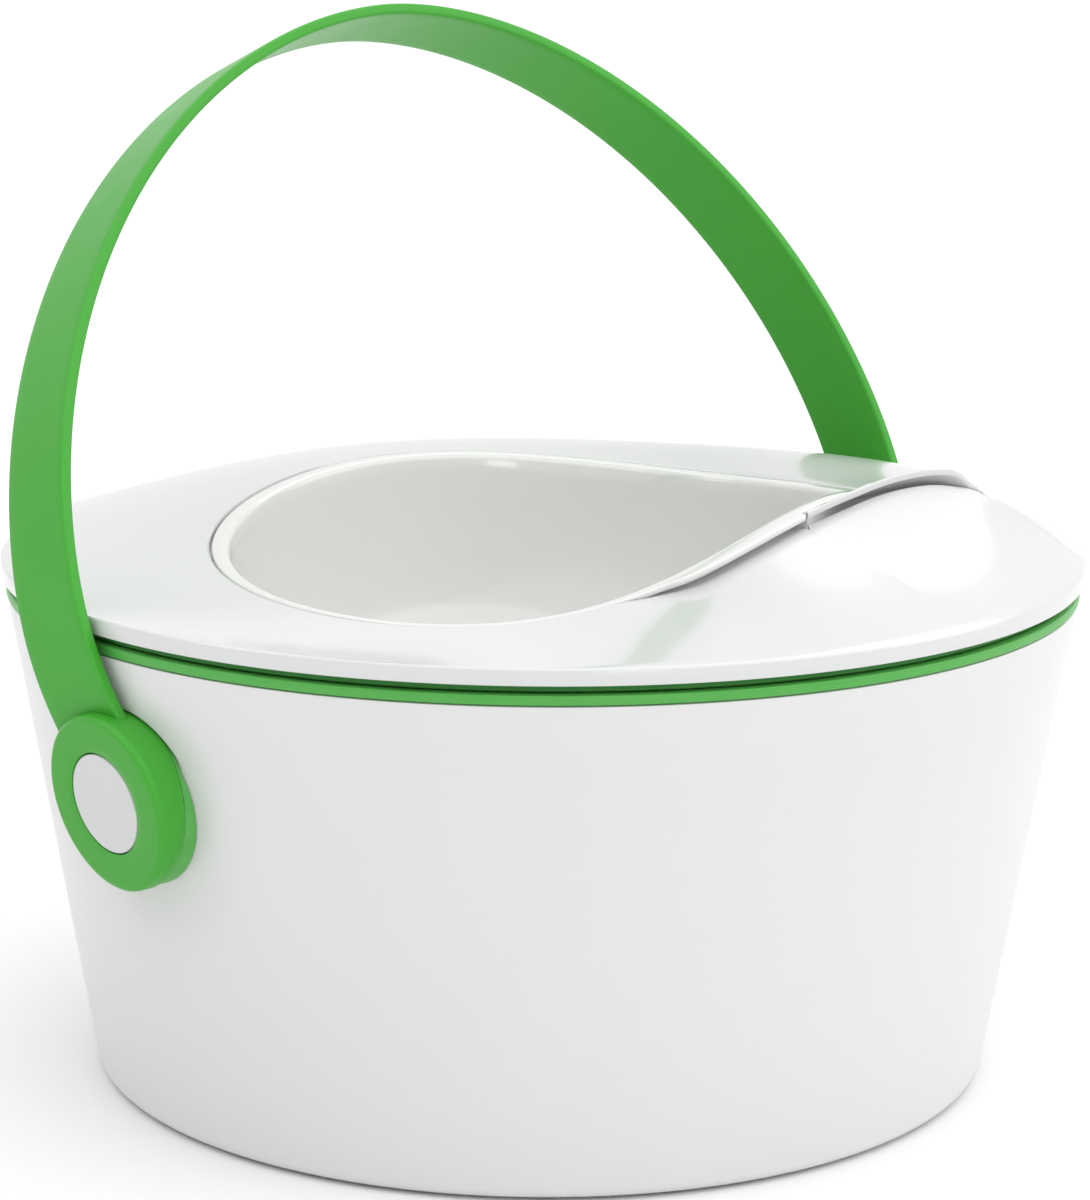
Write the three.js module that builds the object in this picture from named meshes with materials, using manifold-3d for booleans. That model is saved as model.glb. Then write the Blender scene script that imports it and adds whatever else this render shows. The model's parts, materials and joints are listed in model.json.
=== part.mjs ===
// A child's portable potty: a tapered tub, a seat whose surface swirls up into a splash crest, a pot
// that lifts out, and a carry handle that swings over the top.
//
// Millimetres, +Z up. The origin is on the floor under the middle of the tub. The handle turns about
// an axis along X. Azimuths are in degrees from +X towards +Y.
import * as THREE from 'three';
import { mergeVertices } from 'three/addons/utils/BufferGeometryUtils.js';
import Module from 'manifold-3d';

const wasm = await Module();
wasm.setup();

// ---------------------------------------------------------------- driving dimensions

const GAP = 0.3; // left between pieces that touch
const BITE = 1; // how far a cutter runs past the face that it starts from
const ROUND_STEPS = 64; // facets round the tub, the seat, the pot and their rings
const SMALL_STEPS = 24; // facets round the hubs, caps and feet
const PIN_STEPS = 16; // facets round the pivot hardware

const TUB = {
  baseRadius: 127.4, // the wall carried down to the floor
  rimRadius: 150,
  height: 138,
  wall: 3,
  floor: 3.4,
  cornerRadius: 4,
};

const FOOT = { radius: 9, height: 2.1, proud: 0.8, inset: 27.4, count: 4 }; // inset from the tub's base

const RIM_RING = { height: 2.6, overhang: 0.2, skirtWidth: 0.63, skirtDrop: 5 };

const GASKET = { height: 1.7, setBack: 1.6, width: 2.6, gapBelow: 0.5 };

const SEAT = {
  overhang: 1.5, // past the tub's rim
  edgeHeight: 4.5, // the upright band round its outside
  edgeRound: 1.2,
  wall: 3,
  holeRadius: 93.8,
  ledge: 2.5, // thickness of the step that carries the pot
  ledgeWidth: 3,
  skirtWidth: 2.5,
  skirtDrop: 5,
  skirtClearance: 0.5, // inside the rim ring
  shoulder: 2.5, // how late the top surface falls away to the rim
};

const SEAT_STATIONS = { toCrest: 4, toRim: 7, under: 6 }; // points along each section of the seat

// The seat's top swells between the hole and the rim, behind the crest.
const CROWN = { azimuth: -5, rise: 5, sharpness: 3 };

const POT = {
  clearance: 0.6, // round its lip, inside the hole
  lipThickness: 1.8,
  wall: 2.5,
  depth: 76, // from the top of the seat's outer edge to the inside of its floor
  overhang: 2.2, // how far its lip reaches out over the crest
  overhangEnds: [14, 5], // degrees before the crest's tip where the lip draws back in
  lipRound: 0.6,
  lipInner: 2, // flat top of the lip, from the inside of the wall
  stations: 8, // points down the bowl's inside
  widthPower: 0.75, // how full the bowl's sides are
  heightPower: 0.62, // how flat its floor is
};

// The lip's height above the seat's outer edge: one base level and three swells round the circle.
const LIP_BASE = -6.5;
const LIP_SWELLS = [
  { azimuth: 76, rise: 16.9, sharpness: 1.6 }, // the back
  { azimuth: -82, rise: 21.8, sharpness: 4.8 }, // the splash crest
  { azimuth: -37, rise: 13.5, sharpness: 2.3 }, // the crest's shoulder
];

// The crest leaves the hole along a straight line, seen from above, and runs out to the rim.
const CREST = {
  inset: 6.2, // of the line from the hole's edge, towards the axis
  normalAzimuth: -105.3, // of the line
  blend: 4, // where the line leaves the hole's circle
  startAzimuth: -124, // where the slit under the lip opens
  tipAzimuth: -86, // where the pot's lip leaves the crest to the seat
  step: 4, // from the lip's top down to the front slope
  stepLean: 0.3, // of the step's face, outwards
  tipBlend: 20, // degrees past the tip over which the crest takes up its own line
  fallTip: 1.15, // how late the front slope falls away at the tip
  fallEnd: 0.8, // and at the rim, where it hollows
  fallReach: 75, // degrees before the tip over which the slope turns into the seat's shoulder
  quietTurn: 150, // degrees past the crest's end over which its line of points returns to the hole
  peak: 69, // along the line from its foot
  peakHeight: 26.5, // of the front slope above the seat's outer edge
  run: 122, // along the line, from the peak back to where the crest starts
  closeStart: 76, // along the line, where the step starts to close
  closeEnd: 92,
};

const PIVOT = { belowRim: 38, pocketClearance: 0.7 };

const BAIL = {
  lean: 21.8, // towards +Y, degrees
  seatClearance: 3.4, // from the seat's edge to the middle of the strap, at its widest
  widestAt: 47, // above the pivot
  height: 203.2, // to the middle of the strap, above the pivot
  roundness: 1.87, // exponent of the arch's outline, 2 for an ellipse
  footHeight: 15,
  footClearance: 3.342, // from the tub's wall to the middle of the strap's foot
  footWidth: 27.4,
  topWidth: 25.5,
  thickness: 3.1,
  edgeRound: 0.9,
  steps: 52, // stations along the strap
  archPoints: 12, // of the outline's curve on each side, above the widest point
  tuckPoints: 3, // and below it
};

// Places along the pivot axis are measured outwards from the tub's wall at the pivot's height.
const HUB = {
  radius: 23.9,
  lowEdge: 4.086, // its thickness at its lowest point, where its sloping face is nearest
  seam: 1.523, // the face that it turns on
  pocket: 0.223, // the flat sunk into the tub's wall
  edgeRound: 1.6,
  web: 1.3, // left under the pin's head
};

const CAP = { radius: 13.4, thickness: 2.5, edgeRound: 0.5, crown: 0.25, crownRadius: 8, clearance: 0.35 };

const BASE_PLATE = { inset: 0.5 }; // from the hub's edge

const PIN = {
  radius: 4.7,
  bore: 5,
  headRadius: 8.4,
  capClearance: 0.524, // from its head to the cap over it
  innerEnd: -11.377,
  chamfer: 0.6,
};

const PAD = { border: 2.4, face: -5.277, spotBorder: 0.8 }; // the thick patch inside the tub's wall

const WASHER = { radius: 10, thickness: 1.2 };

const NUT = { radius: 8.8, thickness: 3.2, sides: 6 };

// ---------------------------------------------------------------- materials

const finish = (color, roughness) => new THREE.MeshStandardMaterial({ color, roughness, metalness: 0 });

const whiteGloss = () => finish(0xf4f4f2, 0.18);
const greenSatin = () => finish(0x3f9e3d, 0.38);
const greenSeal = () => finish(0x2f8a35, 0.55);
const softGrey = () => finish(0x9a9d9b, 0.8);
const pinWhite = () => finish(0xdfe2e0, 0.45);

// ---------------------------------------------------------------- geometry helpers

const radians = THREE.MathUtils.degToRad;

/** Signed volume of an indexed triangle mesh. */
function signedVolume(positions, index) {
  const a = new THREE.Vector3();
  const b = new THREE.Vector3();
  const c = new THREE.Vector3();
  let six = 0;
  for (let i = 0; i < index.length; i += 3) {
    a.fromArray(positions, index[i] * 3);
    b.fromArray(positions, index[i + 1] * 3);
    c.fromArray(positions, index[i + 2] * 3);
    six += a.dot(b.cross(c));
  }
  return six / 6;
}

/** A closed geometry as a solid, with its faces turned outwards. */
function solidOf(geometry) {
  const bare = geometry.index ? geometry.toNonIndexed() : geometry.clone();
  bare.deleteAttribute('normal');
  bare.deleteAttribute('uv');
  const merged = mergeVertices(bare, 1e-4);
  const positions = merged.getAttribute('position').array;
  const faces = [];
  for (let i = 0; i < merged.index.count; i += 3) {
    const [a, b, c] = [0, 1, 2].map((k) => merged.index.getX(i + k));
    if (a !== b && b !== c && c !== a) faces.push(a, b, c);
  }
  if (signedVolume(positions, faces) < 0) faces.reverse();
  return new wasm.Manifold(
    new wasm.Mesh({
      numProp: 3,
      vertProperties: new Float32Array(positions),
      triVerts: new Uint32Array(faces),
    }),
  );
}

/** A named mesh made from a solid. */
function part(name, solid, material) {
  const made = solid.getMesh();
  const geometry = new THREE.BufferGeometry();
  geometry.setAttribute('position', new THREE.BufferAttribute(new Float32Array(made.vertProperties), 3));
  geometry.setIndex(new THREE.BufferAttribute(new Uint32Array(made.triVerts), 1));
  geometry.computeVertexNormals();
  const mesh = new THREE.Mesh(geometry, material);
  mesh.name = name;
  return mesh;
}

/** A body of revolution about Z from [radius, z] points. */
function turned(profile, steps = ROUND_STEPS) {
  const points = profile.map(([radius, z]) => new THREE.Vector2(radius, z));
  return new THREE.LatheGeometry(points, steps).rotateX(Math.PI / 2);
}

/** A turned body whose section changes with the azimuth: sectionAt gives its [radius, z] points. */
function swept(sectionAt, steps = ROUND_STEPS) {
  const geometry = turned(sectionAt(-90), steps);
  const positions = geometry.getAttribute('position');
  const count = positions.count / (steps + 1);
  for (let step = 0; step <= steps; step += 1) {
    const azimuth = (360 * (step % steps)) / steps - 90;
    sectionAt(azimuth).forEach(([radius, z], k) => {
      const angle = radians(azimuth);
      positions.setXYZ(step * count + k, radius * Math.cos(angle), radius * Math.sin(angle), z);
    });
  }
  return geometry;
}

/** A body of revolution about X from [radius, x] points. */
function turnedAboutX(profile, steps) {
  return turned(profile, steps).rotateY(Math.PI / 2);
}

/** A cylinder along X between two places. */
function rod(radius, start, end, steps = SMALL_STEPS) {
  return turnedAboutX([[0, start], [radius, start], [radius, end], [0, end]], steps);
}

/** An arc's points as [radius, z], from one angle to another in degrees. */
function arc(centreRadius, centreZ, radius, from, to, steps) {
  return Array.from({ length: steps + 1 }, (_, k) => {
    const angle = radians(from + ((to - from) * k) / steps);
    return [centreRadius + radius * Math.cos(angle), centreZ + radius * Math.sin(angle)];
  });
}

/** From 0 before one place to 1 after another, smoothly. */
const ease = (value, start, end) => THREE.MathUtils.smoothstep(value, start, end);

// ---------------------------------------------------------------- heights that the pieces share

const tubRadius = (z) => TUB.baseRadius + ((TUB.rimRadius - TUB.baseRadius) * z) / TUB.height;
const faceSlope = (TUB.rimRadius - TUB.baseRadius) / TUB.height; // of the wall, and of the hubs' faces

const ringBottom = TUB.height + GAP;
const ringTop = ringBottom + RIM_RING.height;
const ringSkirtBottom = ringBottom - RIM_RING.skirtDrop;
const ringSkirt = tubRadius(ringSkirtBottom) - TUB.wall - GAP; // its outside, in the tub's mouth
const ringInner = ringSkirt - RIM_RING.skirtWidth;
const skirtOuter = ringInner - SEAT.skirtClearance;
const gasketBottom = ringTop + GASKET.gapBelow;
const seatBottom = gasketBottom + GASKET.height + GAP;
const seatTop = seatBottom + SEAT.edgeHeight; // of its outer edge
const seatRadius = TUB.rimRadius + SEAT.overhang;

const pivotHeight = TUB.height - PIVOT.belowRim;
const pivotWall = tubRadius(pivotHeight);
const [hubSeam, hubPocket] = [pivotWall + HUB.seam, pivotWall + HUB.pocket];
const [padFace, pinEnd] = [pivotWall + PAD.face, pivotWall + PIN.innerEnd];
const hubFace = hubSeam + GAP + HUB.lowEdge + faceSlope * HUB.radius; // at its middle

const strapHalfWidth = seatRadius + BAIL.seatClearance;
const strapFoot = tubRadius(pivotHeight + BAIL.footHeight * Math.cos(THREE.MathUtils.degToRad(BAIL.lean)));
const strapTuck = strapHalfWidth - strapFoot - BAIL.footClearance; // of the foot, from the widest point

const crestDistance = SEAT.holeRadius - CREST.inset; // from the axis

/** The smallest turn from one azimuth to another, in degrees. */
const turnFrom = (start, azimuth) => THREE.MathUtils.euclideanModulo(azimuth - start + 180, 360) - 180;

/** Height that a swell has at an azimuth. */
const swellAt = ({ azimuth: centre, rise, sharpness }, azimuth) =>
  rise * Math.exp(sharpness * (Math.cos(radians(azimuth - centre)) - 1));

/** Height of the lip round the hole. */
const lipHeight = (azimuth) =>
  seatTop + LIP_BASE + LIP_SWELLS.reduce((sum, swell) => sum + swellAt(swell, azimuth), 0);

const fromNormal = (azimuth) => turnFrom(CREST.normalAzimuth, azimuth);
const crestTurn = THREE.MathUtils.radToDeg(Math.acos(crestDistance / seatRadius));
const crestEnd = CREST.normalAzimuth + crestTurn;

/** Degrees from the foot of the crest's line, which ends at the rim. */
const alongTurn = (azimuth) => THREE.MathUtils.clamp(fromNormal(azimuth), 0, crestTurn);

/** Radius of the crest at an azimuth, no less than the hole's. */
function crestRadius(azimuth) {
  const line = crestDistance / Math.cos(radians(alongTurn(azimuth)));
  const round = SEAT.holeRadius;
  return (line + round + Math.hypot(line - round, CREST.blend)) / 2;
}

/** Distance along the crest's line from its foot. */
const alongCrest = (azimuth) => crestRadius(azimuth) * Math.sin(radians(alongTurn(azimuth)));

/** Drop from the lip's top to the front slope. */
function crestStep(azimuth) {
  const opening = ease(fromNormal(azimuth), CREST.startAzimuth - CREST.normalAzimuth, 0);
  return CREST.step * opening * (1 - ease(alongCrest(azimuth), CREST.closeStart, CREST.closeEnd));
}

/** Height of the front slope's top edge along the crest's own line. */
function crestLine(azimuth) {
  const along = alongCrest(azimuth);
  const reach = crestDistance * Math.tan(radians(crestTurn));
  if (along > CREST.peak) {
    const fall = Math.min((along - CREST.peak) / (reach - CREST.peak), 1);
    return seatTop + CREST.peakHeight * Math.cos((Math.PI / 2) * fall);
  }
  const rise = Math.cos((Math.PI * (CREST.peak - along)) / CREST.run);
  return seatTop + LIP_BASE / 2 + ((CREST.peakHeight - LIP_BASE / 2) * (1 + rise)) / 2;
}

const tipMiss = lipHeight(CREST.tipAzimuth) - crestStep(CREST.tipAzimuth) - crestLine(CREST.tipAzimuth);

/** Height of the crest's upper edge, past the pot's lip. */
function crestTop(azimuth) {
  const past = turnFrom(CREST.tipAzimuth, azimuth);
  return crestLine(azimuth) + crestStep(azimuth) + tipMiss * (1 - ease(past, 0, CREST.tipBlend));
}

/** Whether the crest crosses the seat at an azimuth, between the hole and the rim. */
const inCrest = (azimuth) =>
  turnFrom(CREST.tipAzimuth, azimuth) > 0 && turnFrom(crestEnd, azimuth) < 0;

// ---------------------------------------------------------------- tub

function makeTub() {
  const low = FOOT.proud;
  const corner = TUB.cornerRadius;
  const cornerZ = low + corner;
  const outer = [
    [0, low],
    ...arc(tubRadius(cornerZ) - corner, cornerZ, corner, -90, 0, 4),
    [TUB.rimRadius, TUB.height],
  ];
  const inside = low + TUB.floor;
  const inner = [
    [TUB.rimRadius - TUB.wall, TUB.height],
    ...arc(tubRadius(inside + corner) - TUB.wall - corner, inside + corner, corner, 0, -90, 3),
    [0, inside],
  ];
  const block = solidOf(turned([...outer, [0, TUB.height]]));
  let tub = solidOf(turned([...outer, ...inner]));
  const pocketEdge = HUB.radius + PIVOT.pocketClearance;
  for (const side of [-1, 1]) {
    const along = (radius, start, end) =>
      solidOf(rod(radius, start, end).scale(side, 1, 1)).translate([0, 0, pivotHeight]);
    tub = tub.add(along(pocketEdge + PAD.border, padFace, seatRadius).intersect(block));
    tub = tub.subtract(along(pocketEdge, hubPocket, seatRadius));
    tub = tub.subtract(along(WASHER.radius + PAD.spotBorder, pinEnd, padFace));
    tub = tub.subtract(along(PIN.bore, pinEnd, seatRadius));
  }
  const pocketRadius = FOOT.radius + GAP;
  const pocketTop = FOOT.height + GAP;
  const pocket = [[0, low - BITE], [pocketRadius, low - BITE], [pocketRadius, pocketTop], [0, pocketTop]];
  for (const [x, y] of footPlaces()) {
    tub = tub.subtract(solidOf(turned(pocket, SMALL_STEPS)).translate([x, y, 0]));
  }
  return part('tub', tub, whiteGloss());
}

function footPlaces() {
  const circle = TUB.baseRadius - FOOT.inset;
  return Array.from({ length: FOOT.count }, (_, k) => {
    const angle = radians(45 + (360 * k) / FOOT.count);
    return [circle * Math.cos(angle), circle * Math.sin(angle)];
  });
}

function makeFeet() {
  return footPlaces().map(([x, y], k) => {
    const profile = [[0, 0], [FOOT.radius, 0], [FOOT.radius, FOOT.height], [0, FOOT.height]];
    const foot = part(`foot_${k + 1}`, solidOf(turned(profile, SMALL_STEPS)), softGrey());
    foot.position.set(x, y, 0);
    return foot;
  });
}

// ---------------------------------------------------------------- rings between the tub and the seat

function makeRimRing() {
  const outer = TUB.rimRadius + RIM_RING.overhang;
  const ring = turned([
    [outer, ringBottom],
    [outer, ringTop],
    [ringInner, ringTop],
    [ringInner, ringSkirtBottom],
    [ringSkirt, ringSkirtBottom],
    [ringSkirt, ringBottom],
    [outer, ringBottom],
  ]);
  return part('tub_rim_ring', solidOf(ring), greenSatin());
}

function makeGasket() {
  const outer = seatRadius - GASKET.setBack - SEAT.overhang;
  const inner = Math.max(outer - GASKET.width, skirtOuter + GAP);
  const ring = turned([
    [outer, gasketBottom],
    [outer, gasketBottom + GASKET.height],
    [inner, gasketBottom + GASKET.height],
    [inner, gasketBottom],
    [outer, gasketBottom],
  ]);
  return part('seat_gasket', solidOf(ring), greenSeal());
}

// ---------------------------------------------------------------- seat

/** The crest's radius where it crosses the seat, and a quiet radius in the seat elsewhere. */
function foldRadius(azimuth) {
  const nearest = SEAT.holeRadius + SEAT.wall;
  const furthest = seatRadius - SEAT.wall;
  const past = turnFrom(crestEnd, azimuth);
  if (past <= 0) return THREE.MathUtils.clamp(crestRadius(azimuth), nearest, furthest);
  return THREE.MathUtils.lerp(furthest, nearest, ease(past, 0, CREST.quietTurn));
}

/** How late the seat's top falls away to the rim: late at the back, at once under the crest. */
function fallPower(azimuth) {
  const past = turnFrom(CREST.tipAzimuth, azimuth);
  if (inCrest(azimuth)) {
    return THREE.MathUtils.mapLinear(past, 0, crestEnd - CREST.tipAzimuth, CREST.fallTip, CREST.fallEnd);
  }
  if (past > 0) return SEAT.shoulder;
  return THREE.MathUtils.lerp(CREST.fallTip, SEAT.shoulder, ease(-past, 0, CREST.fallReach));
}

/** Height of the seat's top at an azimuth and a radius. */
function seatHeight(azimuth, radius) {
  const lip = lipHeight(azimuth);
  const power = fallPower(azimuth);
  const crossed = inCrest(azimuth);
  const fold = crossed ? foldRadius(azimuth) : SEAT.holeRadius;
  const crown = (share) => swellAt(CROWN, azimuth) * Math.sin(Math.PI * share);
  const towardsCrest = (r) => {
    const share = Math.min((r - SEAT.holeRadius) / (crestRadius(azimuth) - SEAT.holeRadius), 1);
    return lip + (crestTop(azimuth) - lip) * share ** SEAT.shoulder + crown(share);
  };
  if (crossed && radius < fold) return towardsCrest(radius);
  const edge = (crossed ? towardsCrest(fold) : lip) - crestStep(azimuth);
  const out = Math.max(radius - fold, 0) / (seatRadius - fold);
  return seatTop + (edge - seatTop) * (1 - out ** power) + (crossed ? 0 : crown(out));
}

/** The seat's top from the hole outwards, as [radius, z] points. */
function seatSurface(azimuth) {
  const fold = foldRadius(azimuth);
  const { toCrest, toRim } = SEAT_STATIONS;
  const inner = Array.from({ length: toCrest + 1 }, (_, k) =>
    THREE.MathUtils.lerp(SEAT.holeRadius, fold - CREST.stepLean, k / toCrest));
  const outer = Array.from({ length: toRim + 1 }, (_, k) =>
    THREE.MathUtils.lerp(fold, seatRadius - SEAT.edgeRound, k / toRim));
  return [...inner, ...outer].map((radius) => [radius, seatHeight(azimuth, radius)]);
}

/** The seat's underside between two radii, a wall below the lowest top within reach of each point. */
function seatUnderside(azimuth, start, end) {
  const spacing = (end - start) / SEAT_STATIONS.under;
  return Array.from({ length: SEAT_STATIONS.under + 1 }, (_, k) => {
    const radius = start + spacing * k;
    const nearby = [-1, -0.5, 0, 0.5, 1].map((share) =>
      THREE.MathUtils.clamp(radius + share * spacing, SEAT.holeRadius, seatRadius));
    return [radius, Math.min(...nearby.map((r) => seatHeight(azimuth, r))) - SEAT.wall];
  });
}

function makeSeat() {
  const skirtInner = skirtOuter - SEAT.skirtWidth;
  const skirtBottom = seatBottom - SEAT.skirtDrop;
  const ledgeInner = SEAT.holeRadius - SEAT.ledgeWidth;
  const sectionAt = (azimuth) => {
    const top = seatSurface(azimuth);
    const [, holeHeight] = top[0];
    const ledgeTop = Math.min(lipHeight(azimuth) - POT.lipThickness, holeHeight) - GAP;
    return [
      ...top,
      [seatRadius, seatTop - SEAT.edgeRound],
      [seatRadius, seatBottom],
      [skirtOuter, seatBottom],
      [skirtOuter, skirtBottom],
      [skirtInner, skirtBottom],
      [skirtInner, seatBottom + GAP],
      ...seatUnderside(azimuth, skirtInner - SEAT.wall, SEAT.holeRadius + SEAT.wall),
      [SEAT.holeRadius, ledgeTop - SEAT.ledge],
      [ledgeInner, ledgeTop - SEAT.ledge],
      [ledgeInner, ledgeTop],
      [SEAT.holeRadius, ledgeTop],
      top[0],
    ];
  };
  return part('seat', solidOf(swept(sectionAt)), whiteGloss());
}

// ---------------------------------------------------------------- pot

/** How far the pot's lip reaches out past the hole's clearance. */
function lipReach(azimuth) {
  const before = -turnFrom(CREST.tipAzimuth, azimuth);
  const [start, end] = POT.overhangEnds;
  const open = ease(crestStep(azimuth), POT.lipThickness + GAP, CREST.step);
  return before > 0 ? POT.overhang * open * ease(before, end, start) : 0;
}

function makePot() {
  const lipRadius = SEAT.holeRadius - POT.clearance;
  const wallTop = SEAT.holeRadius - SEAT.ledgeWidth - GAP - POT.wall;
  const floor = seatTop - POT.depth;
  // The bowl's inside, as shares of its radius and of its height above its floor.
  const bowl = Array.from({ length: POT.stations + 1 }, (_, k) => {
    const angle = radians((90 * k) / POT.stations);
    return [Math.cos(angle) ** POT.widthPower, 1 - Math.sin(angle) ** POT.heightPower];
  });
  const sectionAt = (azimuth) => {
    const lip = lipHeight(azimuth);
    const outer = lipRadius + lipReach(azimuth);
    const rim = lip - POT.lipThickness;
    const inside = bowl.map(([share, height]) => [wallTop * share, floor + (rim - floor) * height]);
    const outside = inside.map(([radius, z], k) => {
      const down = k / POT.stations;
      return [radius + POT.wall * (1 - down), z - POT.wall * ease(down, 0, 1)];
    });
    for (const line of [inside, outside]) line[POT.stations][0] = 0;
    return [
      ...inside.reverse(),
      [wallTop + POT.lipInner / 2, lip - POT.lipRound],
      [wallTop + POT.lipInner, lip],
      [outer - POT.lipRound, lip],
      [outer, lip - POT.lipRound],
      [outer, rim],
      ...outside,
    ];
  };
  return part('inner_pot', solidOf(swept(sectionAt)), whiteGloss());
}

// ---------------------------------------------------------------- pivots, on the tub

/** Pieces of one pivot that stay on the tub; side is -1 or 1. */
function makePivot(side, label) {
  const group = new THREE.Group();
  group.position.set(0, 0, pivotHeight);
  group.rotation.z = side > 0 ? 0 : Math.PI;

  const grown = turned([
    [0, 0],
    [tubRadius(0) + GAP, 0],
    [TUB.rimRadius + GAP, TUB.height],
    [0, TUB.height],
  ]);
  const wall = solidOf(grown).translate([0, 0, -pivotHeight]);
  const bore = solidOf(rod(PIN.bore, pinEnd, seatRadius, PIN_STEPS));
  const plateRadius = HUB.radius - BASE_PLATE.inset;
  const plate = solidOf(rod(plateRadius, padFace, hubSeam))
    .subtract(wall)
    .add(solidOf(rod(plateRadius, hubPocket + GAP, hubSeam)))
    .subtract(bore);
  group.add(part(`pivot_base_${label}`, plate, greenSatin()));

  const headStart = hubSeam + GAP + HUB.web + GAP;
  const headEnd = hubFace - CAP.thickness - faceSlope * PIN.headRadius - PIN.capClearance;
  const pin = turnedAboutX(
    [
      [0, pinEnd],
      [PIN.radius - PIN.chamfer, pinEnd],
      [PIN.radius, pinEnd + PIN.chamfer],
      [PIN.radius, headStart],
      [PIN.headRadius, headStart],
      [PIN.headRadius, headEnd],
      [0, headEnd],
    ],
    PIN_STEPS,
  );
  group.add(part(`pivot_pin_${label}`, solidOf(pin), pinWhite()));

  const washerFace = padFace - GAP;
  const nutFace = washerFace - WASHER.thickness - GAP;
  const washer = solidOf(rod(WASHER.radius, washerFace - WASHER.thickness, washerFace)).subtract(bore);
  group.add(part(`pivot_washer_${label}`, washer, softGrey()));
  const nut = solidOf(rod(NUT.radius, nutFace - NUT.thickness, nutFace, NUT.sides)).subtract(bore);
  group.add(part(`pivot_nut_${label}`, nut, pinWhite()));
  return group;
}

// ---------------------------------------------------------------- handle, upright about its pivot axis

/** The middle line of the strap, from its left foot over the top to its right foot. */
function bailPath() {
  const rightSide = [];
  for (let k = 0; k < BAIL.tuckPoints; k += 1) {
    const down = 1 - k / BAIL.tuckPoints;
    const drop = (BAIL.widestAt - BAIL.footHeight) * down;
    rightSide.push([strapHalfWidth - strapTuck * down ** 2, BAIL.widestAt - drop]);
  }
  const power = 2 / BAIL.roundness;
  for (let k = 0; k < BAIL.archPoints; k += 1) {
    const angle = radians((90 * k) / BAIL.archPoints);
    rightSide.push([
      strapHalfWidth * Math.cos(angle) ** power,
      BAIL.widestAt + (BAIL.height - BAIL.widestAt) * Math.sin(angle) ** power,
    ]);
  }
  const left = rightSide.map(([x, z]) => new THREE.Vector3(-x, 0, z));
  const right = rightSide.map(([x, z]) => new THREE.Vector3(x, 0, z)).reverse();
  return new THREE.CatmullRomCurve3([...left, new THREE.Vector3(0, 0, BAIL.height), ...right]);
}

/** The strap, or with clearance the space that it needs. */
function strapSolid(clearance) {
  const halfWidth = BAIL.footWidth / 2 + clearance;
  const halfThick = BAIL.thickness / 2 + clearance;
  const cut = BAIL.edgeRound;
  const corners = [
    [halfWidth, halfThick - cut],
    [halfWidth - cut, halfThick],
    [cut - halfWidth, halfThick],
    [-halfWidth, halfThick - cut],
    [-halfWidth, cut - halfThick],
    [cut - halfWidth, -halfThick],
    [halfWidth - cut, -halfThick],
    [halfWidth, cut - halfThick],
  ];
  const shape = new THREE.Shape(corners.map(([x, y]) => new THREE.Vector2(x, y)));
  const geometry = new THREE.ExtrudeGeometry(shape, {
    steps: BAIL.steps,
    extrudePath: bailPath(),
    bevelEnabled: false,
  });
  const positions = geometry.getAttribute('position');
  for (let k = 0; k < positions.count; k += 1) {
    const share = positions.getZ(k) / BAIL.height;
    const width = THREE.MathUtils.lerp(1, BAIL.topWidth / BAIL.footWidth, share);
    positions.setY(k, positions.getY(k) * width);
  }
  return solidOf(geometry);
}

const uprightY = -Math.sin(radians(BAIL.lean));
const uprightZ = Math.cos(radians(BAIL.lean));

/** Slopes a hub piece so that its outer face lies parallel to the tub's wall. */
function slopeFace(geometry, start = -Infinity, end = -Infinity) {
  const positions = geometry.getAttribute('position');
  for (let k = 0; k < positions.count; k += 1) {
    const up = positions.getY(k) * uprightY + positions.getZ(k) * uprightZ;
    const x = positions.getX(k);
    const share = end > start ? THREE.MathUtils.clamp((x - start) / (end - start), 0, 1) : 1;
    positions.setX(k, x + faceSlope * up * share);
  }
  return geometry;
}

function makeHub(side, label) {
  const back = hubSeam + GAP;
  const bevel = arc(HUB.radius - HUB.edgeRound, hubFace - HUB.edgeRound, HUB.edgeRound, 0, 90, 4);
  const outline = [[0, back], [HUB.radius, back], ...bevel, [0, hubFace]];
  const disc = slopeFace(turnedAboutX(outline, SMALL_STEPS), back, hubFace);
  const recess = CAP.thickness + GAP;
  const capPocket = slopeFace(rod(CAP.radius + CAP.clearance, hubFace - recess, hubFace + recess));
  const headPocket = rod(PIN.headRadius + GAP, back + HUB.web, hubFace, PIN_STEPS);
  const bore = rod(PIN.bore, back - BITE, hubFace, PIN_STEPS);
  const mirrored = (geometry) => solidOf(geometry.scale(side, 1, 1));
  const hub = mirrored(disc)
    .subtract(mirrored(capPocket))
    .subtract(mirrored(headPocket))
    .subtract(mirrored(bore))
    .subtract(strapSolid(GAP).translate([0, 0, -GAP]))
    .subtract(strapSolid(GAP));
  return part(`handle_hub_${label}`, hub, greenSatin());
}

function makeCap(side, label) {
  const profile = [
    [0, hubFace - CAP.thickness],
    [CAP.radius, hubFace - CAP.thickness],
    [CAP.radius, hubFace - CAP.edgeRound],
    [CAP.radius - CAP.edgeRound, hubFace],
    [CAP.crownRadius, hubFace + CAP.crown / 2],
    [0, hubFace + CAP.crown],
  ];
  const cap = slopeFace(turnedAboutX(profile, SMALL_STEPS)).scale(side, 1, 1);
  return part(`pivot_cap_${label}`, solidOf(cap), whiteGloss());
}

// ---------------------------------------------------------------- the whole object

const group = new THREE.Group();
group.add(makeTub(), ...makeFeet(), makeRimRing(), makeGasket(), makeSeat(), makePot());

const handle = new THREE.Group();
handle.position.set(0, 0, pivotHeight);
handle.rotation.x = -radians(BAIL.lean);
handle.add(part('handle_strap', strapSolid(0), greenSatin()));
for (const [side, label] of [[-1, 'left'], [1, 'right']]) {
  group.add(makePivot(side, label));
  handle.add(makeHub(side, label), makeCap(side, label));
}
group.add(handle);

export default group;
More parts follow.
